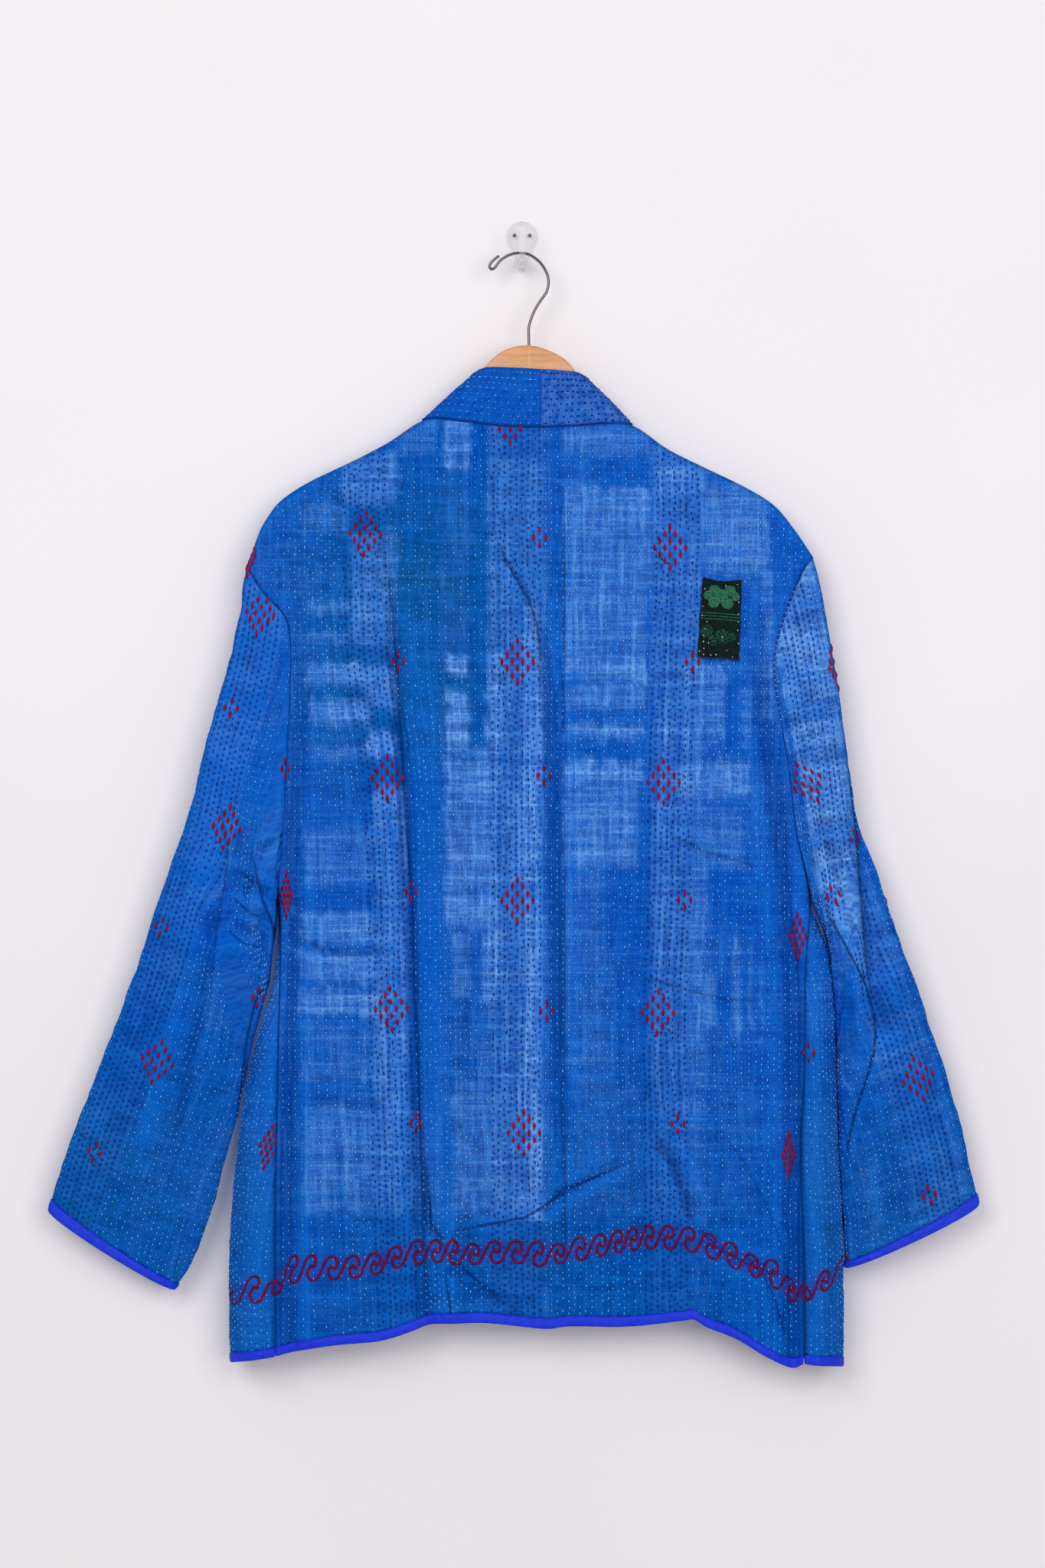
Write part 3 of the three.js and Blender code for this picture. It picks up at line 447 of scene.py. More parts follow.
def lattice_noise(across, along, cell_across, cell_along, seed):
    """Soft bumps from -1 to 1 whose cells have the given size."""
    table_size = (97, 89)
    table_start = 400
    table = np.random.default_rng(seed).uniform(-1, 1, table_size)
    a, b = across / cell_across + table_start, along / cell_along + table_start
    i, j = np.floor(a).astype(int), np.floor(b).astype(int)
    s, t = smooth_share(a - i, 0, 1), smooth_share(b - j, 0, 1)

    def corner(di, dj):
        return table[(i + di) % table_size[0], (j + dj) % table_size[1]]

    top = corner(0, 0) * (1 - s) + corner(1, 0) * s
    return top * (1 - t) + (corner(0, 1) * (1 - s) + corner(1, 1) * s) * t


def quilt_crumple(across, along, seed):
    """Height of the small soft ripples that close rows of running stitch draw up in worn cotton."""
    drift = 9 * lattice_noise(across, along, 38, 44, seed)
    height = 0.42 * lattice_noise(across + drift, along, 15, 7.5, seed + 1)
    height += 0.34 * lattice_noise(across, along + drift, 7, 12, seed + 2)
    height += 0.55 * lattice_noise(across, along, 34, 20, seed + 3)
    return height + 0.9 * lattice_noise(across, along, 62, 95, seed + 4)


def settled(points, times, ring):
    """The grid with its small forms smoothed away, each pass a mean with its neighbours."""
    for _ in range(times):
        tall = np.concatenate([2 * points[:1] - points[1:2], points, 2 * points[-1:] - points[-2:-1]])
        points = (tall[:-2] + 2 * tall[1:-1] + tall[2:]) / 4
        if ring:
            points = (np.roll(points, 1, 1) + 2 * points + np.roll(points, -1, 1)) / 4
        else:
            first, last = 2 * points[:, :1] - points[:, 1:2], 2 * points[:, -1:] - points[:, -2:-1]
            wide = np.concatenate([first, points, last], axis=1)
            points = (wide[:, :-2] + 2 * wide[:, 1:-1] + wide[:, 2:]) / 4
    return points


def facing_of(points, ring=False):
    """Unit vectors straight out of the cloth's outer face."""
    down = np.gradient(points, axis=0)
    across = np.roll(points, -1, 1) - np.roll(points, 1, 1) if ring else np.gradient(points, axis=1)
    facing = np.cross(down, across)
    return facing / np.maximum(np.linalg.norm(facing, axis=2, keepdims=True), 1e-9)


def quilted(points, across, along, seed, ring=False, edge_fade=5):
    """The grid of a quilted panel: points, what way they face, and their place in the cut cloth."""
    facing = facing_of(points, ring)
    down, sideways = np.arange(across.shape[0]), np.arange(across.shape[1])
    from_edge = np.minimum(down, down[::-1])[:, None] * np.ones((1, len(sideways)))
    if not ring:
        from_edge = np.minimum(from_edge, np.minimum(sideways, sideways[::-1])[None, :])
    height = quilt_crumple(across, along, seed) * smooth_share(from_edge, 0, edge_fade)
    below_top = np.where(down > 8, 1, 0)[:, None]
    height = height - 0.4 * np.exp(-((from_edge / 0.9) ** 2)) * below_top
    points = points + facing * height[..., None]
    facing = facing_of(points, ring)
    # How far each point stands out from the smoothed cloth. The material paints light on these small ridges
    # and shade in the hollows between them.
    ridge = ((points - settled(points, 4, ring)) * facing).sum(axis=2)
    return {"points": points, "facing": facing, "across": across, "along": along, "ring": ring,
            "ridge": ridge}


def paint_crease_shade(cloth):
    """Puts on the grid how far each place lies off its nearest sharp crease, and how dark the painted shade
    along that crease is there.
    """
    x, y, z = np.moveaxis(cloth["points"], 2, 0)
    cloth["off_crease"], cloth["crease"] = np.full_like(x, off_all_creases), np.zeros_like(x)
    for path, dark in crease_shade_lines:
        off, grown = off_path(path, x, z)
        closer = np.abs(off) < np.abs(cloth["off_crease"])
        near = grown * dark * np.exp(-((off / crease_reach) ** 2)) * (y < viewer_side)
        cloth["off_crease"] = np.where(closer, off, cloth["off_crease"])
        cloth["crease"] = np.where(closer, near, cloth["crease"])


def grid_faces(cloth):
    """The four corners of every face of a panel's grid."""
    rows, columns = cloth["across"].shape
    last = columns if cloth["ring"] else columns - 1
    r, c = np.meshgrid(np.arange(rows - 1), np.arange(last), indexing="ij")
    corners = [(r, c), (r + 1, c), (r + 1, c + 1), (r, c + 1)]
    return np.stack([a * columns + b % columns for a, b in corners], axis=-1).reshape(-1, 4)


def cloth_shell(name, cloth, material, wall):
    """The panel as a thin closed shell, its cut-cloth place in the UV map, in metres."""
    faces = grid_faces(cloth)
    piece = mesh_piece(name, cloth["points"].reshape(-1, 3), faces, material)
    place = np.stack([cloth["across"], cloth["along"]], axis=-1).reshape(-1, 2) * 0.001
    layer = piece.data.uv_layers.new(name="cut_cloth")
    layer.data.foreach_set("uv", place[faces.reshape(-1)].reshape(-1))
    for attribute in ("ridge", "tint", "faded", "teal", "off_crease", "crease"):
        if attribute in cloth:
            values = piece.data.attributes.new(attribute, "FLOAT", "POINT")
            values.data.foreach_set("value", cloth[attribute].reshape(-1))
    thickness = piece.modifiers.new("cloth_thickness", "SOLIDIFY")
    thickness.thickness = wall * 0.001
    thickness.offset = -1
    return piece


def cloth_group(name, results):
    """A node group from a place in the cut cloth to the named results."""
    group = bpy.data.node_groups.new(name, "ShaderNodeTree")
    group.interface.new_socket("Place", in_out="INPUT", socket_type="NodeSocketVector")
    for result_name in results:
        group.interface.new_socket(result_name, in_out="OUTPUT", socket_type="NodeSocketFloat")
    place = group.nodes.new("NodeGroupInput").outputs["Place"]
    return group, place, group.nodes.new("NodeGroupOutput").inputs


def stretched_noise(tree, place, scale, detail):
    """Noise drawn out one way of the cloth, as its threads are."""
    stretched = add_node(tree, "ShaderNodeVectorMath", {0: place, 1: scale}, operation="MULTIPLY")
    return noise(tree, stretched.outputs[0], 1, detail)


# Threads of the worn, open weave: thin pale lines both ways, thicker slubs here and there.
weave, weave_place, weave_out = cloth_group("open_weave", ["Threads", "Height"])


def thread_lines(scale, cut):
    """Broken lines along one way of the cloth."""
    lines = stretched_noise(weave, weave_place, scale, 1.5)
    return sums(weave, "DIVIDE", sums(weave, "SUBTRACT", lines, cut), 0.085, clamp=True)


warp_fine = thread_lines((460, 42, 1), 0.49)
weft_fine = thread_lines((40, 480, 1), 0.50)
warp_slub = thread_lines((210, 11, 1), 0.55)
weft_slub = thread_lines((12, 220, 1), 0.54)
fine_threads = sums(weave, "MAXIMUM", warp_fine, weft_fine)
slub_threads = sums(weave, "MAXIMUM", warp_slub, weft_slub)
slubs = sums(weave, "MULTIPLY", slub_threads, 0.6)
weave.links.new(sums(weave, "MULTIPLY_ADD", fine_threads, 0.55, slubs, clamp=True), weave_out["Threads"])
weave.links.new(sums(weave, "ADD", fine_threads, slub_threads), weave_out["Height"])

row_spacing = 5.0
stitch_pitch = 5.4

# The draw of each running stitch: a small dent where the thread holds the layers down. It gives both the bump
# and the painted shade in each dent.
dents, dents_place, dents_out = cloth_group("stitch_dents", ["Dent"])
dent_split = add_node(dents, "ShaderNodeSeparateXYZ", {0: dents_place})
row_number = sums(dents, "DIVIDE", dent_split.outputs["X"], row_spacing * 0.001)
nearest_row = sums(dents, "ROUND", row_number)
off_row = sums(dents, "ABSOLUTE", sums(dents, "SUBTRACT", row_number, nearest_row))
odd_row = sums(dents, "MULTIPLY", sums(dents, "FLOORED_MODULO", nearest_row, 2), 0.5)
stitch_number = sums(dents, "DIVIDE", dent_split.outputs["Y"], stitch_pitch * 0.001)
along_row = sums(dents, "SUBTRACT", stitch_number, odd_row)
off_stitch = sums(dents, "ABSOLUTE", sums(dents, "SUBTRACT", along_row, sums(dents, "ROUND", along_row)))
squares = [sums(dents, "MULTIPLY", off, off) for off in (off_row, off_stitch)]
dent_reach = sums(dents, "POWER", sums(dents, "ADD", *squares), 0.5)
dent_depth = sums(dents, "SUBTRACT", 1, sums(dents, "MULTIPLY", dent_reach, 2.1), clamp=True)
dents.links.new(dent_depth, dents_out["Dent"])

deep_blue = (0.0, 0.066, 0.45)
teal_blue = (0.0, 0.074, 0.24)
lilac_blue = (0.048, 0.172, 0.63)
thread_blue = (0.004, 0.165, 0.66)
pale_thread_blue = (0.160, 0.410, 0.88)
# The next three colours are painted light and shade: a painted shade for dents, hollows and ribs, a painted
# highlight for ridges and the edges of creases, and a darker painted shade for creases.
shadow_blue = (0.0, 0.018, 0.16)
painted_highlight_blue = (0.004, 0.170, 0.74)
painted_crease_shade_blue = (0.0, 0.012, 0.085)
bled_violet = (0.030, 0.026, 0.36)

# Then how far the quilted bands drift where the cloth is drawn into a fold.
faded_checks = [
    (-67, -44, -160, -206, .70), (-156, -106, -190, -236, .50), (-146, -106, -258, -360, .42),
    (-30, 26, -162, -960, .36), (35, 110, -166, -195, .42), (35, 110, -221, -258, .62),
    (35, 110, -258, -312, .48), (35, 108, -312, -366, .50), (35, 108, -366, -388, .72),
    (35, 105, -392, -411, .55), (35, 105, -424, -437, .62), (35, 104, -456, -476, .80),
    (35, 100, -476, -548, .52), (35, 72, -548, -724, .24), (110, 158, -186, -960, .36),
    (116, 158, -200, -226, .55), (157, 212, -218, -294, .58), (136, 182, -378, -394, .66),
    (154, 174, -394, -434, .50), (114, 172, -423, -441, .66), (187, 197, -394, -444, .50),
    (130, 195, -455, -488, .66), (150, 190, -496, -550, .36), (147, 165, -636, -686, .52),
    (179, 186, -604, -698, .42), (192, 196, -610, -690, .40), (202, 206, -630, -700, .36),
    (-186, -134, -318, -330, .34), (-186, -134, -344, -356, .30), (-186, -132, -374, -393, .64),
    (-182, -130, -404, -426, .70), (-178, -132, -443, -455, .34), (-186, -100, -512, -562, .36),
    (-188, -127, -584, -611, .62), (-192, -126, -618, -646, .66), (-192, -124, -652, -675, .74),
    (-190, -120, -680, -730, .30), (-186, -70, -752, -842, .44), (-64, -46, -364, -380, .80),
    (-65, -45, -396, -448, .92), (-66, -20, -446, -600, .56), (-60, -44, -602, -660, .40),
    (-30, -13, -364, -404, .62), (-31, -13, -396, -448, .84), (-34, -14, -602, -666, .66),
    (-36, -16, -690, -724, .40), (1, 17, -322, -850, .80), (3, 13, -424, -560, .96),
    (-12, 2, -480, -560, .60), (-30, 26, -724, -842, .44), (-134, -106, -376, -412, .66),
    (-132, -106, -432, -452, .78), (-128, -98, -480, -560, .52), (-126, -96, -560, -760, .50),
    (-104, -74, -160, -192, .30), (-190, -150, -236, -262, .30), (-212, -192, -330, -700, .12),
    (206, 216, -290, -420, .42), (44, 96, -724, -842, .20), (112, 150, -560, -640, .40),
    (-60, -30, -724, -842, .40), (60, 200, -735, -842, .16),
]
deep_checks = [
    (-45, -31, -160, -446, .85), (-108, -70, -196, -452, .60), (-98, -70, -452, -960, .55),
    (19, 34, -160, -960, .62), (174, 186, -378, -455, .80), (165, 240, -548, -604, .50),
    (-252, -60, -845, -990, .60), (-60, 260, -848, -990, .75), (-20, 20, -166, -196, .50),
    (-190, -128, -458, -512, .45), (-190, -128, -562, -584, .50), (80, 108, -548, -735, .55),
]
teal_places = [
    (-92, -300, 95, 1.0), (-120, -390, 80, .80), (-66, -400, 70, .70), (-60, -520, 60, .40),
    (0, -960, 240, .50), (-140, -820, 60, .35),
]
band_drift = profile([
    (-160, -14), (-261, -13), (-366, -10), (-471, 4), (-568, 9), (-668, 10), (-800, 13), (-960, 18),
])
right_band_drift = profile([
    (-160, 6), (-273, 6), (-372, 2), (-475, -1), (-575, -2), (-671, -6), (-766, -5), (-960, -4),
])


def drifted(x, z):
    """Place across the cut cloth of a place on the hanging back."""
    left = band_drift(z) * smooth_share(-x, 30, 105) * (1 - smooth_share(-x, 150, 200))
    right = right_band_drift(z) * smooth_share(x, 45, 112) * (1 - smooth_share(x, 160, 210))
    return x - left - right


def check_share(x, z, checks, seed):
    """How far each place lies in one of the checks, whose edges run out along the threads."""
    ragged_x = x + 2.2 * lattice_noise(x, z, 60, 3.6, seed) + 1.5 * lattice_noise(x, z, 30, 14, seed + 1)
    ragged_z = z + 4 * lattice_noise(x, z, 3.6, 90, seed + 2) + 3 * lattice_noise(x, z, 18, 30, seed + 3)
    share = np.zeros_like(x)
    for left, right, top, bottom, strength in checks:
        inside = smooth_share(ragged_x, left - 2, left + 2)
        inside = inside * (1 - smooth_share(ragged_x, right - 2, right + 2))
        inside = inside * smooth_share(ragged_z, bottom - 5, bottom + 5)
        inside = inside * (1 - smooth_share(ragged_z, top - 5, top + 5))
        share = np.maximum(share, inside * strength)
    return share


def fade_back(cloth):
    """Puts the faded checks and the greener places of the back on its grid."""
    x, _, z = np.moveaxis(cloth["points"], 2, 0)
    pale = np.maximum(check_share(x, z, faded_checks, 301), 0.09 + 0.07 * lattice_noise(x, z, 40, 30, 305))
    pale = pale * (1 - 0.45 * smooth_share(-z, 690, 780) * smooth_share(x, 10, 40))
    cloth["faded"] = pale * (1 - check_share(x, z, deep_checks, 311))
    teal = [
        share * np.exp(-((np.hypot(x - cx, z - cz) / reach) ** 2)) for cx, cz, reach, share in teal_places
    ]
    cloth["teal"] = np.max(teal, axis=0)
    paint_crease_shade(cloth)


def finish_surface(tree, output, colour, rough, normal, even):
    """The shader of a material, joined to its output; even holds what is the same all over."""
    inputs = {"Base Color": colour, "Roughness": rough, "Normal": normal, **even}
    shader = add_node(tree, "ShaderNodeBsdfPrincipled", inputs)
    tree.links.new(shader.outputs[0], output.inputs["Surface"])


quilted_cotton, tree, output = new_material("quilted_cotton")
cut = add_node(tree, "ShaderNodeUVMap", uv_map="cut_cloth").outputs["UV"]
faded, teal, ridge, tint, off_crease, crease = (
    add_node(tree, "ShaderNodeAttribute", attribute_name=n).outputs["Fac"]
    for n in ("faded", "teal", "ridge", "tint", "off_crease", "crease")
)
patches = noise(tree, cut, 22, 4, Roughness=0.6)
threads = add_node(tree, "ShaderNodeGroup", node_tree=weave, inputs={"Place": cut}).outputs
dent = add_node(tree, "ShaderNodeGroup", node_tree=dents, inputs={"Place": cut}).outputs["Dent"]
streaks = [stretched_noise(tree, cut, scale, 2.5) for scale in ((240, 8, 1), (9, 150, 1))]
streaked = sums(tree, "ADD", *streaks)
patchy = sums(tree, "MULTIPLY_ADD", patches, 0.8, sums(tree, "MULTIPLY_ADD", streaked, 2.2, -1.55))
pale = sums(tree, "MULTIPLY", faded, patchy, clamp=True)
teal_share = sums(tree, "MULTIPLY", teal, sums(tree, "MULTIPLY_ADD", patches, 1.2, 0.4), clamp=True)
ground = blend_colours(tree, teal_share, deep_blue, teal_blue)
ground = blend_colours(tree, pale, ground, lilac_blue)
thread_colour = blend_colours(tree, pale, thread_blue, pale_thread_blue)
bared = sums(tree, "MULTIPLY_ADD", pale, 0.60, 0.38)
thread_share = sums(tree, "MULTIPLY", threads["Threads"], bared, clamp=True)
ground = blend_colours(tree, thread_share, ground, thread_colour)
# Painted shade: each stitch's dent is darkened toward the shadow colour.
ground = blend_colours(tree, sums(tree, "MULTIPLY", dent, 0.35), ground, shadow_blue)
# Painted light on the cloth's small ridges and painted shade in its hollows, both from the ridge value.
painted_ridge_light = sums(tree, "MINIMUM", sums(tree, "MULTIPLY", ridge, 0.6, clamp=True), 0.30)
painted_hollow_shade = sums(tree, "MINIMUM", sums(tree, "MULTIPLY", ridge, -0.8, clamp=True), 0.34)
ground = blend_colours(tree, painted_ridge_light, ground, painted_highlight_blue)
ground = blend_colours(tree, painted_hollow_shade, ground, shadow_blue)
# Painted shade along each sharp crease and in the gaps between parts, with a painted highlight a little to
# one side of it.
crease_line = sums(tree, "MULTIPLY_ADD", sums(tree, "ABSOLUTE", off_crease), -0.7, 1.3, clamp=True)
ground = blend_colours(tree, sums(tree, "MULTIPLY", crease_line, crease), ground, painted_crease_shade_blue)
beside_line = sums(tree, "ABSOLUTE", sums(tree, "ADD", off_crease, -4.5))
beside = sums(tree, "MULTIPLY_ADD", beside_line, -0.4, 1.2, clamp=True)
painted_crease_edge_light = sums(tree, "MULTIPLY", beside, sums(tree, "MULTIPLY", crease, 0.35))
ground = blend_colours(tree, painted_crease_edge_light, ground, painted_highlight_blue)
ground = blend_colours(tree, sums(tree, "MULTIPLY", tint, 0.42), ground, bled_violet)
relief = sums(tree, "MULTIPLY_ADD", dent, -1.1, sums(tree, "MULTIPLY", threads["Height"], 0.22))
rough = sums(tree, "MULTIPLY_ADD", patches, 0.16, 0.78)
finish_surface(tree, output, ground, rough, bumped(tree, relief, 0.0006, 0.9), {"Specular IOR Level": 0.02})

quilt_thickness = 1.9
panel_length = 800
tape_width = 7.5
tape_gap = 0.4
binding_share = tape_width / panel_length

# Rows of the panels' grids: close together over the shoulder, then even down to the hem's tape.
shoulder_share = 0.03
over_shoulder = shoulder_share * np.linspace(0.02, 1, 15) ** 2


def rows_down(count):
    even_rows = np.linspace(shoulder_share, 1 - binding_share - tape_gap / panel_length, count)
    return np.concatenate([over_shoulder, even_rows[1:]])


back_top = curve_through(shoulder_left[::-1] + neck_seam[1:] + shoulder_right[1:])


def back_surface(u, v):
    points = between_edges(back_top, curve_through(back_hem), panel_edge(-1), panel_edge(1), u, v)
    points[..., 1] = back_face_depth(points[..., 0], points[..., 2])
    return points


u, v = np.meshgrid(np.linspace(0.0002, 0.9998, 138), rows_down(228))
back_points = back_surface(u, v)
back_across = drifted(back_points[..., 0], back_points[..., 2])
back_cloth = quilted(back_points, back_across, back_points[..., 2], seed=11)
fade_back(back_cloth)
border_line = profile([
    (-252, -914), (-236, -909), (-219, -909), (-206, -899), (-189, -892), (-166, -890), (-147, -889),
    (-127, -886), (-107, -880), (-87, -877), (-74, -875), (-54, -877), (-28, -876), (-1, -876), (12, -879),
    (32, -876), (51, -873), (78, -868), (104, -864), (131, -864), (144, -866), (170, -874.5), (190, -884),
    (210, -892), (230, -909), (243, -908), (256, -901), (273, -894),
])
front_border_line = profile([(-262, -912), (-200, -900), (-60, -872), (66, -868), (200, -888), (280, -906)])


def border_tint(cloth):
    """1 on the strip of cloth under the border's scrolls, where their dye has bled, 0 away from it."""
    x, y, z = np.moveaxis(cloth["points"], 2, 0)
    line = np.where(y < viewer_side, border_line(x), front_border_line(x))
    return 1 - smooth_share(np.abs(z - line), 5, 11)


back_cloth["tint"] = border_tint(back_cloth)
back = cloth_shell("quilted_back", back_cloth, quilted_cotton, wall=quilt_thickness)
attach(back, "root")
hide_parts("back")


# Running stitch: soft cotton thread drawn through all layers in straight rows down each panel. Each
# stitch shows as a small rounded grain that lies on the cloth, pale on the blue stripes, navy on the
# lilac ones. One tree of nodes lays every stitch of the jacket.
stitch_tree = bpy.data.node_groups.new("sewn_stitches", "GeometryNodeTree")
stitch_tree.interface.new_socket("Geometry", in_out="INPUT", socket_type="NodeSocketGeometry")
for socket_name, default in (("Length", 0.002), ("Width", 0.0011), ("Height", 0.0008), ("Unevenness", 0.25)):
    socket = stitch_tree.interface.new_socket(socket_name, in_out="INPUT", socket_type="NodeSocketFloat")
    socket.default_value = default
stitch_tree.interface.new_socket("Seed", in_out="INPUT", socket_type="NodeSocketInt").default_value = 1
stitch_tree.interface.new_socket("Thread", in_out="INPUT", socket_type="NodeSocketMaterial")
stitch_tree.interface.new_socket("Geometry", in_out="OUTPUT", socket_type="NodeSocketGeometry")
given = stitch_tree.nodes.new("NodeGroupInput").outputs
result = stitch_tree.nodes.new("NodeGroupOutput")
outward, along_way = [
    add_node(stitch_tree, "GeometryNodeInputNamedAttribute", {"Name": n}, data_type="FLOAT_VECTOR")
    for n in ("facing", "along")
]
turned = add_node(stitch_tree, "FunctionNodeAxesToRotation", {
    "Primary Axis": outward.outputs["Attribute"], "Secondary Axis": along_way.outputs["Attribute"],
}, primary_axis="Z", secondary_axis="X")
least, most = [sums(stitch_tree, way, 1, given["Unevenness"]) for way in ("SUBTRACT", "ADD")]
uneven = add_node(stitch_tree, "FunctionNodeRandomValue", {"Min": least, "Max": most, "Seed": given["Seed"]})
reach = sums(stitch_tree, "MULTIPLY", given["Length"], uneven.outputs["Value"])
size = add_node(stitch_tree, "ShaderNodeCombineXYZ", {0: reach, 1: given["Width"], 2: given["Height"]})
grain = add_node(stitch_tree, "GeometryNodeMeshUVSphere", {"Segments": 4, "Rings": 2, "Radius": 0.5})
soft_grain = add_node(stitch_tree, "GeometryNodeSetShadeSmooth", {"Geometry": grain.outputs["Mesh"]})
laid = add_node(stitch_tree, "GeometryNodeInstanceOnPoints", {
    "Points": given["Geometry"], "Instance": soft_grain.outputs[0], "Rotation": turned.outputs[0],
    "Scale": size.outputs[0],
})
real = add_node(stitch_tree, "GeometryNodeRealizeInstances", {0: laid.outputs[0]})
coloured = add_node(stitch_tree, "GeometryNodeSetMaterial", {
    "Geometry": real.outputs[0], "Material": given["Thread"],
})
stitch_tree.links.new(coloured.outputs[0], result.inputs[0])


def thread_material(name, first, second, contrast=2.4):
    """Dyed cotton thread whose colour drifts a little from stitch to stitch."""
    material, tree, output = new_material(name)
    place = add_node(tree, "ShaderNodeTexCoord").outputs["Object"]
    drift, twist = noise(tree, place, 210, 2), noise(tree, place, 2200, 2)
    drifted_share = sums(tree, "MULTIPLY_ADD", drift, contrast, 0.5 - 0.5 * contrast, clamp=True)
    rough = sums(tree, "MULTIPLY_ADD", twist, 0.15, 0.7)
    finish_surface(tree, output, blend_colours(tree, drifted_share, first, second), rough,
                   bumped(tree, twist, 0.0002, 0.6), {"Specular IOR Level": 0.1})
    return material


pale_thread = thread_material("pale_thread", (0.002, 0.19, 0.76), (0.26, 0.64, 1.0), contrast=5)
navy_thread = thread_material("navy_thread", (0.001, 0.012, 0.10), (0.006, 0.050, 0.30), contrast=4)
crimson_thread = thread_material("crimson_thread", (0.22, 0.001, 0.022), (0.45, 0.003, 0.035))
maroon_thread = thread_material("maroon_thread", (0.060, 0.006, 0.045), (0.21, 0.006, 0.040))


def sewn(name, stitches, thread, length, width, height, unevenness=0.25, seed=1):
    """Stitches laid at points, each with the way it runs and the way it faces, made one plain mesh."""
    points = np.array([s[0] for s in stitches], float)
    facing = np.array([s[2] for s in stitches], float)
    piece = mesh_piece(name, points + facing * height * 0.14, [], thread, smooth=False)
    for attribute, values in (("along", [s[1] for s in stitches]), ("facing", facing)):
        layer = piece.data.attributes.new(attribute, "FLOAT_VECTOR", "POINT")
        layer.data.foreach_set("vector", np.array(values, float).reshape(-1))
    sewing = piece.modifiers.new("sewing", "NODES")
    sewing.node_group = stitch_tree
    values = {"Length": length * 0.001, "Width": width * 0.001, "Height": height * 0.001,
              "Unevenness": unevenness, "Seed": seed, "Thread": thread}
    for socket in stitch_tree.interface.items_tree:
        if socket.in_out == "INPUT" and socket.name in values:
            sewing[socket.identifier] = values[socket.name]
    depsgraph = bpy.context.evaluated_depsgraph_get()
    plain = bpy.data.meshes.new_from_object(piece.evaluated_get(depsgraph), depsgraph=depsgraph)
    plain.name = name
    piece.modifiers.remove(sewing)
    piece.data = plain
    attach(piece, "root")
    return piece


def rows_of_stitches(cloth, seed, columns=slice(None), margin=1.2):
    """Every place of a stitch on a panel: (point, way along, facing, across, height)."""
    points, facing = cloth["points"][:, columns], cloth["facing"][:, columns]
    across, along = cloth["across"][:, columns], cloth["along"][:, columns]
    dice = np.random.default_rng(seed)
    numbers = np.arange(math.ceil(across.min() / row_spacing), math.floor(across.max() / row_spacing) + 1)
    count = across.shape[1]
    index = np.empty((len(across), len(numbers)))
    for i, line in enumerate(across):
        order = np.argsort(line)
        index[i] = np.interp(numbers * row_spacing, line[order], np.arange(count)[order], left=-1, right=-1)
    stitches = []
    for number, places in zip(numbers, index.T):
        good = np.flatnonzero((places > margin) & (places < count - 1 - margin))
        if len(good) == 0:
            continue
        for run in np.split(good, np.flatnonzero(np.diff(good) > 1) + 1):
            if len(run) < 4:
                continue
            low = np.floor(places[run]).astype(int)
            share = places[run] - low

            def read(values):
                part = share.reshape(-1, *[1] * (values.ndim - 2))
                return values[run, low] * (1 - part) + values[run, low + 1] * part

            heights, line, faces = read(along), read(points), read(facing)
            heights, line, faces = heights[::-1], line[::-1], faces[::-1]
            offset = 0.5 * (number % 2)
            first = math.ceil((heights[0] + 2) / stitch_pitch - offset)
            last = math.floor((heights[-1] - 2) / stitch_pitch - offset)
            stations = (np.arange(first, last + 1) + offset) * stitch_pitch
            stations = stations + dice.normal(0, 0.28, len(stations))
            ways = np.gradient(line, axis=0)
            reads = [
                [np.interp(stations, heights, part[:, k]) for k in range(3)] for part in (line, ways, faces)
            ]
            place, way, face = [np.stack(part, axis=-1) for part in reads]
            way = unit(way)
            side_way = np.cross(way, face)
            sideways = dice.normal(0, 0.12, (len(stations), 1)) * side_way
            place = place + dice.normal(0, 0.3, (len(stations), 1)) * side_way
            for j, height in enumerate(stations):
                stitches.append((place[j], way[j] + sideways[j], face[j], number * row_spacing, height))
    return stitches


def in_bands(stitch, bands):
    return any(abs(stitch[3] - middle) < half for middle, half in bands)


def loose(stitches, seed):
    """The same stitches, drawn less straight: a little off their row and tilted either way."""
    dice = np.random.default_rng(seed)
    found = []
    for point, way, facing, across, height in stitches:
        side_way = np.cross(way, facing)
        moved = point + dice.normal(0, 0.65) * side_way + dice.normal(0, 0.5) * way
        found.append((moved, way + dice.normal(0, 0.28) * side_way, facing, across, height))
    return found


# Red sprigs of the back: (x, z, tilt, squeeze); big ones of sixteen stitches, small ones of four.
big_sprigs = [
    (-135, -261, 4, 1), (127, -273, 0, 1), (-4, -371, 0, 1), (-115.5, -471, 0, .95), (121, -474.5, 0, 1),
    (-4, -575.5, 0, 1), (-112, -668, -3, 1), (116, -671, 2, 1), (1.5, -774, 0, 1), (-10.5, -164.6, 0, 1),
    (-225, -329.5, 10, .9), (-253.5, -513, 10, .85), (-313, -714, 14, 1), (244, -474.5, -30, .9),
    (340, -728.5, -14, 1), (-202.5, -571, 0, .35), (-217, -786, 12, .5), (236, -606.5, 0, .5),
    (228, -794, 0, .4), (-234, -279, 8, .3), (269.5, -376, -10, .4),
]
small_sprigs = [
    (15, -264.5, 0, 1), (-106, -371, 0, .9), (146, -371.5, 0, 1), (18.5, -469, 0, 1), (-95, -568, 0, .8),
    (139, -575, 0, 1), (21, -670, 0, 1), (-91, -766, 0, .8), (133, -766, 0, 1), (-203, -463, 0, .5),
    (-250, -410.5, 8, 1), (-310, -598.5, 14, 1), (-367.5, -792.5, 16, 1), (-227, -659, 6, .8),
    (266, -571, -20, 1), (286, -522.5, -14, .7), (350, -829.5, -16, 1), (245, -705.5, 0, .8),
]
big_rows = [1, 2, 3, 4, 3, 2, 1]
big_apart, big_rows_apart = 8.9, 5.9
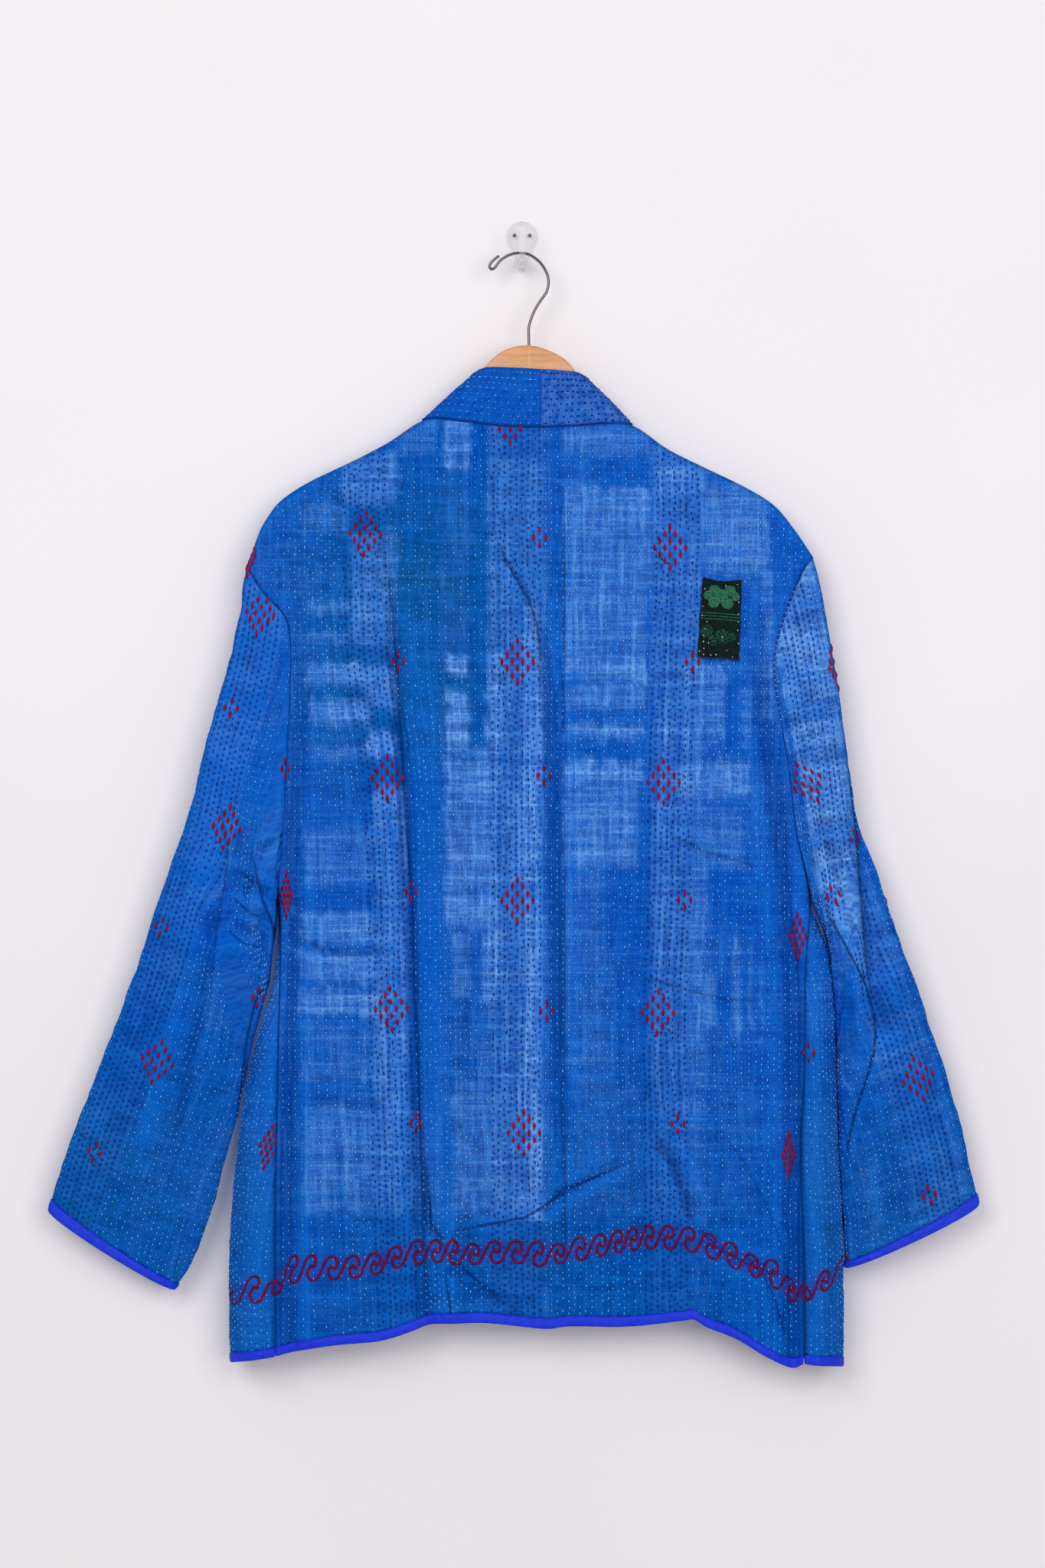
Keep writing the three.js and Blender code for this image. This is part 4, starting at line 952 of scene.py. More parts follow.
small_stitches = [(0, 6.3), (-5.2, 0), (5.2, 0), (0, -6.3)]


def sprig_spots(listed, big):
    """(x, z, way along) of every stitch of the listed sprigs."""
    offsets = small_stitches
    if big:
        offsets = [((i - (n - 1) / 2) * big_apart, (3 - k) * big_rows_apart)
                   for k, n in enumerate(big_rows) for i in range(n)]
    spots = []
    for x, z, tilt, squeeze in listed:
        turn = math.radians(-tilt)
        way = (math.sin(-turn), math.cos(turn))
        for a, b in offsets:
            a *= squeeze
            spot_x = x + a * math.cos(turn) - b * math.sin(turn)
            spots.append((spot_x, z + a * math.sin(turn) + b * math.cos(turn), way))
    return spots


def in_sprig(x, z):
    return any(abs(x - cx) / 18 + abs(z - cz) / 22 < 1 for cx, cz, _, _ in big_sprigs)


def sew_panel(panel_name, stitches, bands, seed, loose_seed=None):
    """Pale stitches on a panel's blue stripes and navy ones in its lilac bands."""
    pale = [s for s in stitches if not in_bands(s, bands)]
    navy = [s for s in stitches if in_bands(s, bands)]
    if loose_seed is not None:
        navy = loose(navy, loose_seed)
    name = "running_stitch_" + panel_name
    sewn(name + "_pale", pale, pale_thread, length=2.5, width=1.0, height=0.8, seed=seed)
    sewn(name + "_navy", navy, navy_thread, length=3.2, width=1.35, height=0.9,
         unevenness=0.4, seed=seed + 1)


dice = np.random.default_rng(5)
lost_share = 0.05
back_stitches = rows_of_stitches(back_cloth, seed=21)
kept = [s for s in back_stitches if not in_sprig(s[3], s[4]) and dice.random() > lost_share]
sew_panel("back", kept, [(-121, 20), (-4, 22), (126, 21)], seed=3, loose_seed=6)


# Fronts: two panels sewn to the band in front and to the armholes, each wrapped round its side to the
# side seam that shows on the viewer's side, where their cloth makes the jacket's hanging edges.
front_seam_left = [(-85, -162), (-83, -178), (-78, -250), (-70, -330), (-63, -500), (-60, -750), (-60, -932)]
front_seam_right = [(94, -166), (92, -180), (86, -250), (78, -330), (70, -500), (66, -750), (66, -928)]
front_hem_left = [(-60, -932), (-110, -943), (-170, -955), (-225, -966), (-262, -974)]
front_hem_right = [(66, -928), (130, -930), (190, -946), (240, -966), (284, -977)]
front_folds = [
    ([(-130, -260), (-140, -500), (-150, -940)], 18, -2.5),
    ([(-190, -330), (-200, -600), (-205, -940)], 20, 2),
    ([(140, -260), (150, -500), (165, -940)], 18, -2.5),
    ([(205, -330), (215, -600), (225, -940)], 20, 2),
    ([(-255, -430), (-290, -600), (-340, -800)], 18, 2),
    ([(265, -430), (300, -600), (335, -800)], 18, 2),
]
front_creases = [
    ([(-100, -300), (-112, -420), (-120, -560), (-124, -760)], 6, -1.2),
    ([(112, -300), (120, -470), (126, -700)], 6, -1.2),
    ([(-190, -420), (-150, -450), (-110, -462)], 7, -1),
    ([(200, -430), (160, -462), (118, -470)], 7, -1),
    ([(-180, -720), (-140, -742), (-92, -748)], 8, -1),
    ([(196, -700), (150, -726), (104, -730)], 8, -1),
    ([(-226, -520), (-214, -560), (-198, -590)], 6, -1.6),
    ([(252, -520), (238, -560), (220, -592)], 6, -1.6),
]


def front_face_depth(x, z):
    """Depth of the outer face of the cloth that hangs on the wall's side."""
    drop = top_line(x) - z
    around = side_round(x, z)
    rise = fold_rise(front_folds, x, z) + fold_rise(front_creases, x, z)
    hanging = turn_depth + (front_depth_at(drop) - turn_depth) * around + rise * around
    return ridge_depth + (hanging - ridge_depth) * quarter_round(drop / ridge_radius)


def wrap_side(flat_x, z, side):
    """Where a place of the flat front lies once it is wrapped round its side."""
    edge = left_turn(z) if side < 0 else right_turn(z)
    reach = (flat_x - edge) * side + turn_radius
    angle = math.pi / 2 - np.maximum(reach, 0) / turn_radius
    x = np.where(reach <= 0, flat_x, edge - side * turn_radius * (1 - np.cos(angle)))
    y = np.where((reach > 0) & (angle <= 0), back_face_depth(x, z), front_face_depth(x, z))
    return np.stack([x, y, z], axis=-1)


def flat_place(x, z, side, on_back):
    """Place across the flat front of a place on the hanging one."""
    edge = left_turn(z) if side < 0 else right_turn(z)
    inset = (edge - x) * side
    angle = np.arccos(np.clip(1 - inset / turn_radius, -1, 1)) * np.where(on_back, -1, 1)
    wrapped = edge + side * (turn_radius * (math.pi / 2 - angle) - turn_radius)
    return np.where((inset >= turn_radius) & ~on_back, x, wrapped)


def front_surface(side):
    edge = panel_edge(side)
    hem = front_hem_left if side < 0 else front_hem_right

    def flat_outer(share):
        share = np.asarray(share, float)
        place = edge(share).copy()
        place[..., 0] = flat_place(place[..., 0], place[..., 2], side, share >= underarm_share)
        return place

    hem_end = flat_outer(1.0)
    top = curve_through(shoulder_left if side < 0 else shoulder_right)
    bottom = curve_through(hem + [(hem_end[0], hem_end[2])])
    seam = curve_through(front_seam_left if side < 0 else front_seam_right)

    def read(u, v):
        flat = between_edges(top, bottom, seam, flat_outer, u if side < 0 else 1 - u, v)
        return wrap_side(flat[..., 0], flat[..., 2], side), flat[..., 0]

    return read


front_stripes = [
    (-260, -210, .34), (-206, -166, .50), (-136, -110, .50), (-84, -38, .55),
    (66, 102, .55), (132, 162, .48), (190, 232, .5),
]
faded_rows = [
    (-840, -760, .55), (-690, -640, .9), (-610, -575, .8), (-560, -500, .5), (-470, -425, .9),
    (-405, -385, .7), (-360, -300, .5), (-262, -226, .7), (-200, -160, .8),
]


def fade_rows(cloth, stripes, shift, strength=1.0, lower=1.0):
    """Faded checks where faded stripes cross faded rows, for the panels that show least."""
    across, along = cloth["across"], cloth["along"] + shift
    whole_stripes = [(left, right, 999, -1999, pale) for left, right, pale in stripes]
    whole_rows = [(-999, 999, top, bottom, pale) for bottom, top, pale in faded_rows]
    stripe = check_share(across, along, whole_stripes, 321)
    row = check_share(across, along, whole_rows, 331)
    spread = lattice_noise(across, along, 45, 38, 341)
    reach = strength + (lower - 1) * strength * smooth_share(-along, 480, 700)
    cloth["faded"] = np.clip(0.12 + stripe * (0.45 + 0.8 * row) + 0.18 * row * (1 + spread), 0, 0.9) * reach
    paint_crease_shade(cloth)
    cloth["teal"] = smooth_share(-along, 640, 860) * 0.5 + 0.12 * (1 + spread)


fronts = {}
for side, side_name, columns, front_bands in (
    (-1, "left", 70, [(-186, 20), (-60, 20)]), (1, "right", 72, [(80, 20), (210, 20)]),
):
    u, v = np.meshgrid(np.linspace(0.0009, 0.9995, columns), rows_down(178))
    front_points, flat_across = front_surface(side)(u, v)
    cloth = quilted(front_points, flat_across, front_points[..., 2], seed=31 + side)
    cloth["tint"] = border_tint(cloth)
    fronts[side] = cloth
    fade_rows(cloth, front_stripes, 0)
    # Painted shade: where the fronts wrap round to the viewer's side their fading is halved, so these turned
    # sides read darker.
    cloth["faded"] = cloth["faded"] * np.where(front_points[..., 1] < turn_depth, 0.5, 1)
    front = cloth_shell("quilted_front_" + side_name, cloth, quilted_cotton, wall=quilt_thickness)
    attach(front, "root")
    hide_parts("front_" + side_name)
    kept = [s for s in rows_of_stitches(cloth, seed=41 + side) if dice.random() > lost_share]
    sew_panel("front_" + side_name, kept, front_bands, seed=5)


# Sleeves: wide tubes of the same quilted cloth, sewn to the dropped armholes and hanging flat, open
# at the cuffs. The right one falls in a big roll over the jacket's edge.
outer_edge_left = [(-238, -288), (-244, -331), (-254, -376), (-269, -428), (-285, -496), (-304, -549),
                   (-327, -618), (-346, -671), (-367, -724), (-387, -777), (-409, -843)]
inner_edge_left = [(-211, -579), (-212.6, -602), (-214.6, -628), (-218.2, -651), (-233, -704), (-244.5, -757),
                   (-257, -803), (-267, -840), (-281, -879), (-299, -911)]
outer_edge_right = [(251, -280), (260, -318), (269, -369), (276, -414), (282, -460), (290, -508), (303, -543),
                    (319, -592), (342, -658), (368, -737), (383, -790), (394, -838)]
inner_edge_right = [
    (249, -579), (258.6, -601), (266, -622), (269.8, -658), (271.2, -724), (272.7, -783), (274.7, -830),
    (277, -869), (278.2, -892),
]
sleeve_half_depth = profile([(0, 17), (0.3, 16.5), (0.65, 13.5), (1, 12)])
sleeve_middle = profile([(0, -28.5), (0.4, -28), (1, -25)])
sleeve_top = -284
cuff_sag = 5
armhole_blend = 0.4
underarm_ease = 0.9
armhole_rows = [0, 1, 2, 3, 12]
armhole_shares = [0, 0.0045, 0.0125, 0.028, 0.45]


def sleeve_surface(side):
    outer = curve_through(outer_edge_left if side < 0 else outer_edge_right)
    inner = curve_through(inner_edge_left if side < 0 else inner_edge_right)
    armhole = curve_through(armhole_left if side < 0 else armhole_right)

    def tube(on_back, from_outer, v):
        share = ((1 - np.cos(math.pi * from_outer)) / 2)[..., None]
        place = outer(v) * (1 - share) + inner(v) * share
        swell = np.sin(math.pi * np.clip(from_outer, 0, 1)) ** 0.8
        x, z = place[..., 0], place[..., 2]
        near = fold_rise(folds, x, z) + fold_rise(fine_creases, x, z)
        rise = np.where(on_back, near, fold_rise(front_folds, x, z)) * swell * smooth_share(v, 0, 0.12)
        place[..., 1] = sleeve_middle(v) + np.where(on_back, -1, 1) * (sleeve_half_depth(v) * swell + rise)
        place[..., 2] -= cuff_sag * swell * v ** 6
        return place

    def read(u, v):
        on_back = u < 0.5
        turn = np.where(on_back, u * 2, (1 - u) * 2)
        from_outer = turn if side < 0 else 1 - turn
        start = armhole(np.interp(from_outer * 12, armhole_rows, armhole_shares) / underarm_share)
        x, z = start[..., 0], start[..., 2]
        start[..., 1] = np.where(on_back, back_face_depth(x, z), front_face_depth(x, z))
        start[..., 0] += side * underarm_ease * smooth_share(from_outer, 0.7, 0.92)
        fade = (1 - smooth_share(v, 0, armhole_blend))[..., None]
        return tube(on_back, from_outer, v) + (start - tube(on_back, from_outer, v * 0)) * fade

    return read, outer


def sleeve_cut(points, outer, v, side):
    """Place of each point in the flat sleeve: across from its outer edge, and down along it."""
    line = outer(v[:, 0])
    axis = unit(np.gradient(line, axis=0))
    down = np.einsum("rck,rk->rc", points - line[:, None], axis) + run_along(line)[:, None]
    half = points.shape[1] // 2
    across = np.zeros(points.shape[:2])
    for i in range(len(points)):
        ring = np.vstack([points[i], points[i, :1]])
        steps = np.diff(ring, axis=0)
        sidelong = np.linalg.norm(steps - (steps @ axis[i])[:, None] * axis[i], axis=1)
        run = np.concatenate([[0], np.cumsum(sidelong)])
        if side < 0:
            across[i] = np.where(np.arange(2 * half) <= half, run[:-1], run[:-1] - run[-1])
        else:
            across[i] = run[half] - run[:-1]
    return across, sleeve_top - down


sleeve_stripes = [(-100, -68, .45), (-36, -8, .42), (8, 50, .42), (76, 94, .40), (114, 152, .4)]
right_sleeve_stripes = [(-100, -68, .45), (-36, -8, .42), (10, 62, .85), (88, 106, .45)]
roll_left = profile([(-300, 190), (-560, 235), (-604, 270), (-630, 284), (-656, 296), (-700, 303)])
roll_right = profile([
    (-300, 310), (-420, 284), (-500, 287), (-560, 290), (-620, 294), (-672, 300), (-700, 303),
])
sleeve_thickness = 1.8
sleeve_length = 470
sleeve_columns = 104
cuff_share = tape_width / sleeve_length
down_sleeve = np.linspace(0.0012, 1 - cuff_share - tape_gap / sleeve_length, 136)
sleeves = {}
for side, side_name, stripes, sleeve_bands, shift, paleness, paleness_low in (
    (-1, "left", sleeve_stripes, [(29, 20)], -18, 0.42, 0.35),
    (1, "right", right_sleeve_stripes, [(38, 22)], 40, 1.0, 0.6),
):
    surface, outer = sleeve_surface(side)
    u, v = np.meshgrid(np.arange(sleeve_columns) / sleeve_columns, down_sleeve)
    sleeve_points = surface(u, v)
    across, along = sleeve_cut(sleeve_points, outer, v, side)
    cloth = quilted(sleeve_points, across, along, seed=51 + side, ring=True)
    sleeves[side] = cloth
    fade_rows(cloth, stripes, shift, paleness, paleness_low)
    x, y, z = np.moveaxis(sleeve_points, 2, 0)
    if side < 0:
        # Painted light: the upper part of the left sleeve on the viewer's side gets a raised ridge value,
        # which the material paints lighter.
        cloth["ridge"] = cloth["ridge"] + 0.45 * smooth_share(z, -640, -480) * (y < turn_depth)
    else:
        # The roll keeps its full fading and the sleeve off the roll keeps less of it, so the roll reads paler
        # and the sleeve around it darker. This is partly the roll's own fading and partly painted shade where
        # the roll shades the sleeve.
        on_roll = smooth_share(x - roll_left(z), -3, 3) * smooth_share(roll_right(z) - x, -3, 3)
        cloth["faded"] = cloth["faded"] * (0.40 + 0.60 * on_roll)
    sleeve = cloth_shell("quilted_sleeve_" + side_name, cloth, quilted_cotton, wall=sleeve_thickness)
    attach(sleeve, "root")
    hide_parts("sleeve_" + side_name)
    half = sleeve_columns // 2
    sleeve_stitches = rows_of_stitches(cloth, 61 + side, slice(0, half), margin=0.6)
    sleeve_stitches += rows_of_stitches(cloth, 71 + side, slice(half + 1, sleeve_columns), margin=0.6)
    kept = [s for s in sleeve_stitches if dice.random() > lost_share]
    kept = [s for s in kept if not (s[2][1] < 0 and in_sprig(s[0][0], s[0][2]))]
    sew_panel("sleeve_" + side_name, kept, sleeve_bands, seed=7)


# Seams: the panels meet edge to edge at the neck, shoulders, armholes and sides, drawn together by
# close stitches of their own blue. Round the right armhole pale lilac stitches cross the seam as well.
def seam_spots(path, pitch, start=0.0, end=1.0, depth=back_face_depth, across=False):
    """Stitches along a seam's line where the cloth has the given depth, or across the line."""
    stations = spline_points(path, 60, 0.5)
    count = int((end - start) * run_along(stations)[-1] / pitch)
    places = read_curve(stations)(np.linspace(start, end, count))
    x, z = places[:, 0], places[:, 2]
    places[:, 1] = depth(x, z)
    slopes = [depth(x + a, z + b) - depth(x - a, z - b) for a, b in ((0.5, 0), (0, 0.5))]
    facing = unit(np.stack([slopes[0], -np.ones_like(x), slopes[1]], axis=-1))
    if depth is not back_face_depth:
        facing = -facing
    ways = np.gradient(places, axis=0)
    if across:
        ways = np.cross(ways, facing)
    return list(zip(places, ways, facing))


def ridge_spots(path, pitch):
    """Stitches along a shoulder, on the ridge where back and front meet."""
    stations = spline_points(path, 60, 0.5) + np.array([0, ridge_depth, 0])
    places = read_curve(stations)(np.linspace(0, 1, int(run_along(stations)[-1] / pitch)))
    ways = np.gradient(places, axis=0)
    facing = np.cross(ways, (0, 1.0, 0))
    facing *= np.sign(facing[:, 2:]) / np.linalg.norm(facing, axis=1, keepdims=True)
    return list(zip(places - facing * 0.4, ways, facing))


seam_thread = thread_material("seam_thread", (0.0, 0.030, 0.21), (0.0, 0.060, 0.38))
lilac_thread = thread_material("lilac_thread", (0.080, 0.130, 0.62), (0.32, 0.36, 0.86))
seam_pitch = 2.4
seams = seam_spots(neck_seam, 2.2)
for armhole in (armhole_left, armhole_right):
    seams += seam_spots(armhole, seam_pitch, 0.04)
for side_seam in (side_seam_left, side_seam_right):
    seams += seam_spots(side_seam, seam_pitch, 0, 0.985)
for shoulder in (shoulder_left, shoulder_right):
    seams += ridge_spots(shoulder, seam_pitch)
for armhole in (armhole_left, armhole_right):
    seams += seam_spots(armhole, seam_pitch, 0.02, depth=front_face_depth)
sewn("panel_seams", seams, seam_thread, length=3.2, width=1.15, height=0.8, seed=18)
sewn("armhole_ticks", seam_spots(armhole_right, 4.6, 0.10, 0.48, across=True), lilac_thread,
     length=5.0, width=1.4, height=1.6, unevenness=0.35, seed=19)


# Sprigs and scroll border: red cotton sewn over the quilting. The sprigs are separate stitches in
# diamonds; the border is one thick line of chain stitch in running scrolls, above the hem all round.
def grid_tree(cloths):
    """A search tree over the outer faces of panels, for laying sewing on them."""
    places, faces = [], []
    for cloth in cloths:
        faces += (grid_faces(cloth) + len(places)).tolist()
        places += cloth["points"].reshape(-1, 3).tolist()
    return BVHTree.FromPolygons(places, faces)


all_cloth = grid_tree([back_cloth, fronts[-1], fronts[1], sleeves[-1], sleeves[1]])


def lay_on(x, z, way, from_back=True):
    """The stitch (point, way along, facing) that lies on the cloth at x, z, or None off the cloth."""
    start, heading = ((x, -200, z), (0, 1, 0)) if from_back else ((x, 100, z), (0, -1, 0))
    point, normal, _, _ = all_cloth.ray_cast(start, heading)
    if point is None:
        return None
    if normal.dot(heading) > 0:
        normal = -normal
    run = Vector((way[0], 0, way[1]))
    run -= normal * run.dot(normal)
    return tuple(point), tuple(run.normalized()), tuple(normal)


# Sprigs of the fronts: three to a row down each panel, and a few on the sleeves.
front_big = [(x, top - 200 * k, 0, 1) for x, top in ((-186, -300), (-100, -400), (206, -320), (116, -420))
             for k in range(3)]
front_big += [(-290, -560, 10, 1), (-340, -740, 14, 1), (296, -480, -10, 1), (332, -660, -14, 1)]
front_small = [(x, top - 200 * k, 0, 1) for x, top in ((-176, -400), (-90, -300), (216, -420), (126, -320))
               for k in range(3)]
front_small += [(-310, -650, 12, 1), (312, -570, -12, 1)]
laid_sprigs = []
for from_back, big, small in ((True, big_sprigs, small_sprigs), (False, front_big, front_small)):
    spots = sprig_spots(big, True) + sprig_spots(small, False)
    laid_sprigs += [lay_on(x, z, way, from_back) for x, z, way in spots]
sewn("red_sprigs", [s for s in laid_sprigs if s], crimson_thread,
     length=8.0, width=3.1, height=2.2, unevenness=0.16, seed=9)

scroll = [
    (-1.3, 1.9), (-3.4, -0.5), (-4.0, -3.8), (-2.7, -7.5), (0.3, -9.6), (4.7, -7.9), (7.2, -3.5),
    (9.1, 0.5), (10.8, 4.2), (13.5, 8.3), (17.5, 9.6), (20.9, 7.6), (22.2, 3.6), (21.2, -0.1),
    (19.9, -1.1), (17.5, 0.9),
]
scroll_pitch = 18.2


def scroll_spots(line, start, end, squeeze):
    """(x, z, way along) of the chain stitches of a row of scrolls about a line."""
    spots = []
    shape = read_curve(spline_points(scroll, 12, 0.5))(np.linspace(0, 1, 44))
    middle = start
    while middle < end:
        pitch_here = squeeze(middle)
        slope = (line(middle + 4) - line(middle - 4)) / 8
        places = []
        for x, _, z in shape:
            px = middle + x * pitch_here
            places.append((px, line(middle) + slope * x * pitch_here + z))
        ways = np.gradient(np.array(places), axis=0)
        spots += [(x, z, tuple(way)) for (x, z), way in zip(places, ways)]
        middle += scroll_pitch * pitch_here
    return spots


def back_squeeze(x):
    """How much shorter the back's scrolls are where the cloth goes into a fold, by (x, width, share)."""
    share = 1.0
    for fold_x, width, less in ((84, 26, 0.28), (-78, 16, 0.2), (226, 22, 0.25), (-204, 14, 0.2)):
        share -= less * np.exp(-((x - fold_x) / width) ** 2)
    return float(share)


border = [lay_on(x, z, way) for x, z, way in scroll_spots(border_line, -247, 262, back_squeeze)]
for start, end in ((-244, -68), (84, 262)):
    spots = scroll_spots(front_border_line, start, end, lambda x: 1.0)
    border += [lay_on(x, z, way, False) for x, z, way in spots]
sewn("scroll_border", [s for s in border if s], maroon_thread,
     length=3.4, width=2.9, height=1.5, unevenness=0.14, seed=10)


# Collar band: two lengths of folded cloth, joined behind the neck, each run down its own front edge.
# The left one is dark blue, ribbed and sewn with rows of pale dashes and dots. The right one is lilac,
# with navy stitches.
band_sewn_left = [
    (16.3, -33, -168.5), (-18, -33, -167.6), (-44, -33, -164.6), (-67, -32.4, -161.6),
    (-80, -29.5, -160.7), (-86.5, -22.5, -161), (-83.6, -13.2, -166), (-81.2, -11, -190), (-77, -9, -250),
    (-69, -8, -330), (-62.2, -7, -500), (-59.4, -7.5, -750), (-59.4, -8, -931),
]
band_free_left = [
    (16.3, -32, -118.5), (0, -32, -117.6), (-14, -32, -117), (-27, -31.5, -116.6), (-35, -28.5, -117),
    (-41, -22.5, -120), (-41, -13, -127), (-38, -11, -158), (-31, -9, -225), (-22, -8, -315),
    (-12, -7, -500), (-9, -7.5, -750), (-9, -8, -931),
]
band_sewn_right = [
    (16.7, -33, -168.6), (42, -33, -167.5), (60, -33, -165.8), (78, -32.4, -165), (89, -29.5, -164.6),
    (95.5, -22.5, -165), (92.5, -13.2, -170), (89.6, -11, -194), (85, -9, -250), (77, -8, -330),
    (69.4, -7, -500), (65.4, -7.5, -750), (65.4, -8, -927),
]
band_free_right = [
    (16.7, -32, -118.5), (27, -32, -119), (36, -32, -119.8), (45, -31.5, -120.4), (50, -28.5, -121),
    (55, -22.5, -124), (54, -13, -131), (50, -11, -160), (42, -9, -225), (32, -8, -315), (20, -7, -500),
    (15, -7.5, -750), (15, -8, -927),
]


def band_cloth(first, second, seed):
    """Grid of a band between its two long edges, with soft edges and small ripples."""
    rails = [read_curve(spline_points(stations, 60, 0), even_length=False) for stations in (first, second)]
    u, v = np.meshgrid(np.linspace(0, 1, 300), np.linspace(0, 1, 17))
    points = rails[0](u) * (1 - v[..., None]) + rails[1](u) * v[..., None]
    facing = facing_of(points)
    across = run_along((points[0] + points[-1]) / 2)[None, :] * np.ones_like(v)
    width = np.linalg.norm(points[-1] - points[0], axis=1)
    along = v * width[None, :]
    from_edge = np.minimum(along, width[None, :] - along)
    height = 0.35 * lattice_noise(across, along, 9, 9, seed)
    height = height + 0.4 * lattice_noise(across, along, 30, 22, seed + 1)
    height = height * smooth_share(from_edge, 0, 8) - 1.0 * np.exp(-((from_edge / 1.8) ** 2))
    points = points + facing * height[..., None]
    return {"points": points, "facing": facing_of(points), "across": across, "along": along, "ring": False}


def band_material(name, ground, streak, streak_share):
    """Band cloth: fine ribs across the band, painted shade between the ribs, and faded streaks."""
    material, tree, output = new_material(name)
    cut = add_node(tree, "ShaderNodeUVMap", uv_map="cut_cloth").outputs["UV"]
    threads = add_node(tree, "ShaderNodeGroup", node_tree=weave, inputs={"Place": cut}).outputs
    rib_sizes = {"Vector": cut, "Scale": 140, "Distortion": 2.2, "Detail": 2}
    ribs = add_node(tree, "ShaderNodeTexWave", rib_sizes, bands_direction="X").outputs["Fac"]
    patches = noise(tree, cut, 150, 4)
    share = sums(tree, "MULTIPLY", sums(tree, "MULTIPLY_ADD", patches, 3.4, -1.15), streak_share, clamp=True)
    colour = blend_colours(tree, share, ground, streak)
    colour = blend_colours(tree, sums(tree, "MULTIPLY", threads["Threads"], 0.5), colour, thread_blue)
    # Painted shade in the grooves between the ribs.
    colour = blend_colours(tree, sums(tree, "MULTIPLY", ribs, 0.34), colour, shadow_blue)
    relief = sums(tree, "MULTIPLY_ADD", ribs, -0.6, sums(tree, "MULTIPLY", threads["Height"], 0.3))
    rough = sums(tree, "MULTIPLY_ADD", patches, 0.15, 0.76)
    finish_surface(tree, output, colour, rough, bumped(tree, relief, 0.0005, 0.8),
                   {"Specular IOR Level": 0.06})
    return material


band_thickness = 2.4
band_left_cloth = band_cloth(band_sewn_left, band_free_left, 81)
band_right_cloth = band_cloth(band_free_right, band_sewn_right, 83)
band_dark_blue = band_material("band_dark_blue", (0.0, 0.064, 0.46), (0.004, 0.13, 0.62), 0.6)
band_lilac = band_material("band_lilac", (0.001, 0.070, 0.45), (0.085, 0.215, 0.68), 0.9)
for side_name, slot_name, cloth, material in (
    ("left", "band_dark", band_left_cloth, band_dark_blue),
    ("right", "band_light", band_right_cloth, band_lilac),
):
    band = cloth_shell("neck_band_" + side_name, cloth, material, wall=band_thickness)
    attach(band, "root")
    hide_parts("collar_band_" + side_name)


def band_spots(cloth, pitch, lines, start, end, stagger):
    """Stitches that run along a band at given shares of its width."""
    length = cloth["across"][0]
    rows = cloth["points"].shape[0]
    found = []
    for number, share in enumerate(lines):
        row = share * (rows - 1)
        low = min(int(row), rows - 2)
        part = row - low
        line = cloth["points"][low] * (1 - part) + cloth["points"][low + 1] * part
        faces = cloth["facing"][low] * (1 - part) + cloth["facing"][low + 1] * part
        ways = np.gradient(line, axis=0)
        stations = np.arange(start + stagger * pitch * 0.5 * (number % 2), min(end, length[-1] - 5), pitch)
        for station in stations:
            found.append(tuple(
                np.array([np.interp(station, length, values[:, k]) for k in range(3)])
                for values in (line, ways, faces)
            ))
    return found


band_end = 980
faint_thread = thread_material("faint_thread", (0.02, 0.16, 0.66), (0.34, 0.58, 0.94))
dash_lines = [0.62, 0.81]
dot_lines = [0.06, 0.17, 0.28, 0.39, 0.50, 0.71, 0.92]
navy_lines = [0.07, 0.18, 0.29, 0.4, 0.51, 0.62, 0.73, 0.84, 0.94]
sewn("band_dashes_left", band_spots(band_left_cloth, 6, dash_lines, 3, band_end, 1), pale_thread,
     length=3.6, width=0.95, height=0.8, unevenness=0.4, seed=12)
sewn("band_dots_left", band_spots(band_left_cloth, 5.2, dot_lines, 3, band_end, 1), faint_thread,
     length=1.7, width=1.1, height=0.8, unevenness=0.4, seed=17)
navy_spots = [(*s, 0, 0) for s in band_spots(band_right_cloth, 4.8, navy_lines, 3, band_end, 1)]
sewn("band_stitches_right", loose(navy_spots, 84), navy_thread,
     length=2.7, width=2.0, height=1.0, seed=13)
band_seam = band_spots(band_left_cloth, 2.3, [0.006], 1, band_end, 0)
band_seam += band_spots(band_right_cloth, 2.3, [0.994], 1, band_end, 0)
sewn("band_seams", band_seam, seam_thread, length=3.0, width=1.9, height=1.9, seed=20)


# Binding: bright blue cotton tape folded over the hem and the cuffs and sewn down close to its edge,
# which draws it into small puckers. It stands a little proud of the cloth that it holds.
binding_tape, tree, output = new_material("binding_tape")
place = add_node(tree, "ShaderNodeTexCoord").outputs["Object"]
puckers, tape_weave = noise(tree, place, 190, 3), noise(tree, place, 2600, 2)
# Painted light and shade: the tape is lighter where its puckers rise and darker in their hollows, following
# the same noise as its bump.
tape_colour = blend_colours(tree, puckers, (0.0006, 0.012, 0.50), (0.008, 0.046, 0.86))
tape_relief = sums(tree, "MULTIPLY_ADD", puckers, 1.0, sums(tree, "MULTIPLY", tape_weave, 0.25))
tape_rough = sums(tree, "MULTIPLY_ADD", tape_weave, 0.2, 0.5)
finish_surface(tree, output, tape_colour, tape_rough, bumped(tree, tape_relief, 0.0007, 0.8),
               {"Sheen Weight": 0.03, "Specular IOR Level": 0.25})
binding_thread = thread_material("binding_thread", (0.006, 0.04, 0.5), (0.02, 0.09, 0.8))


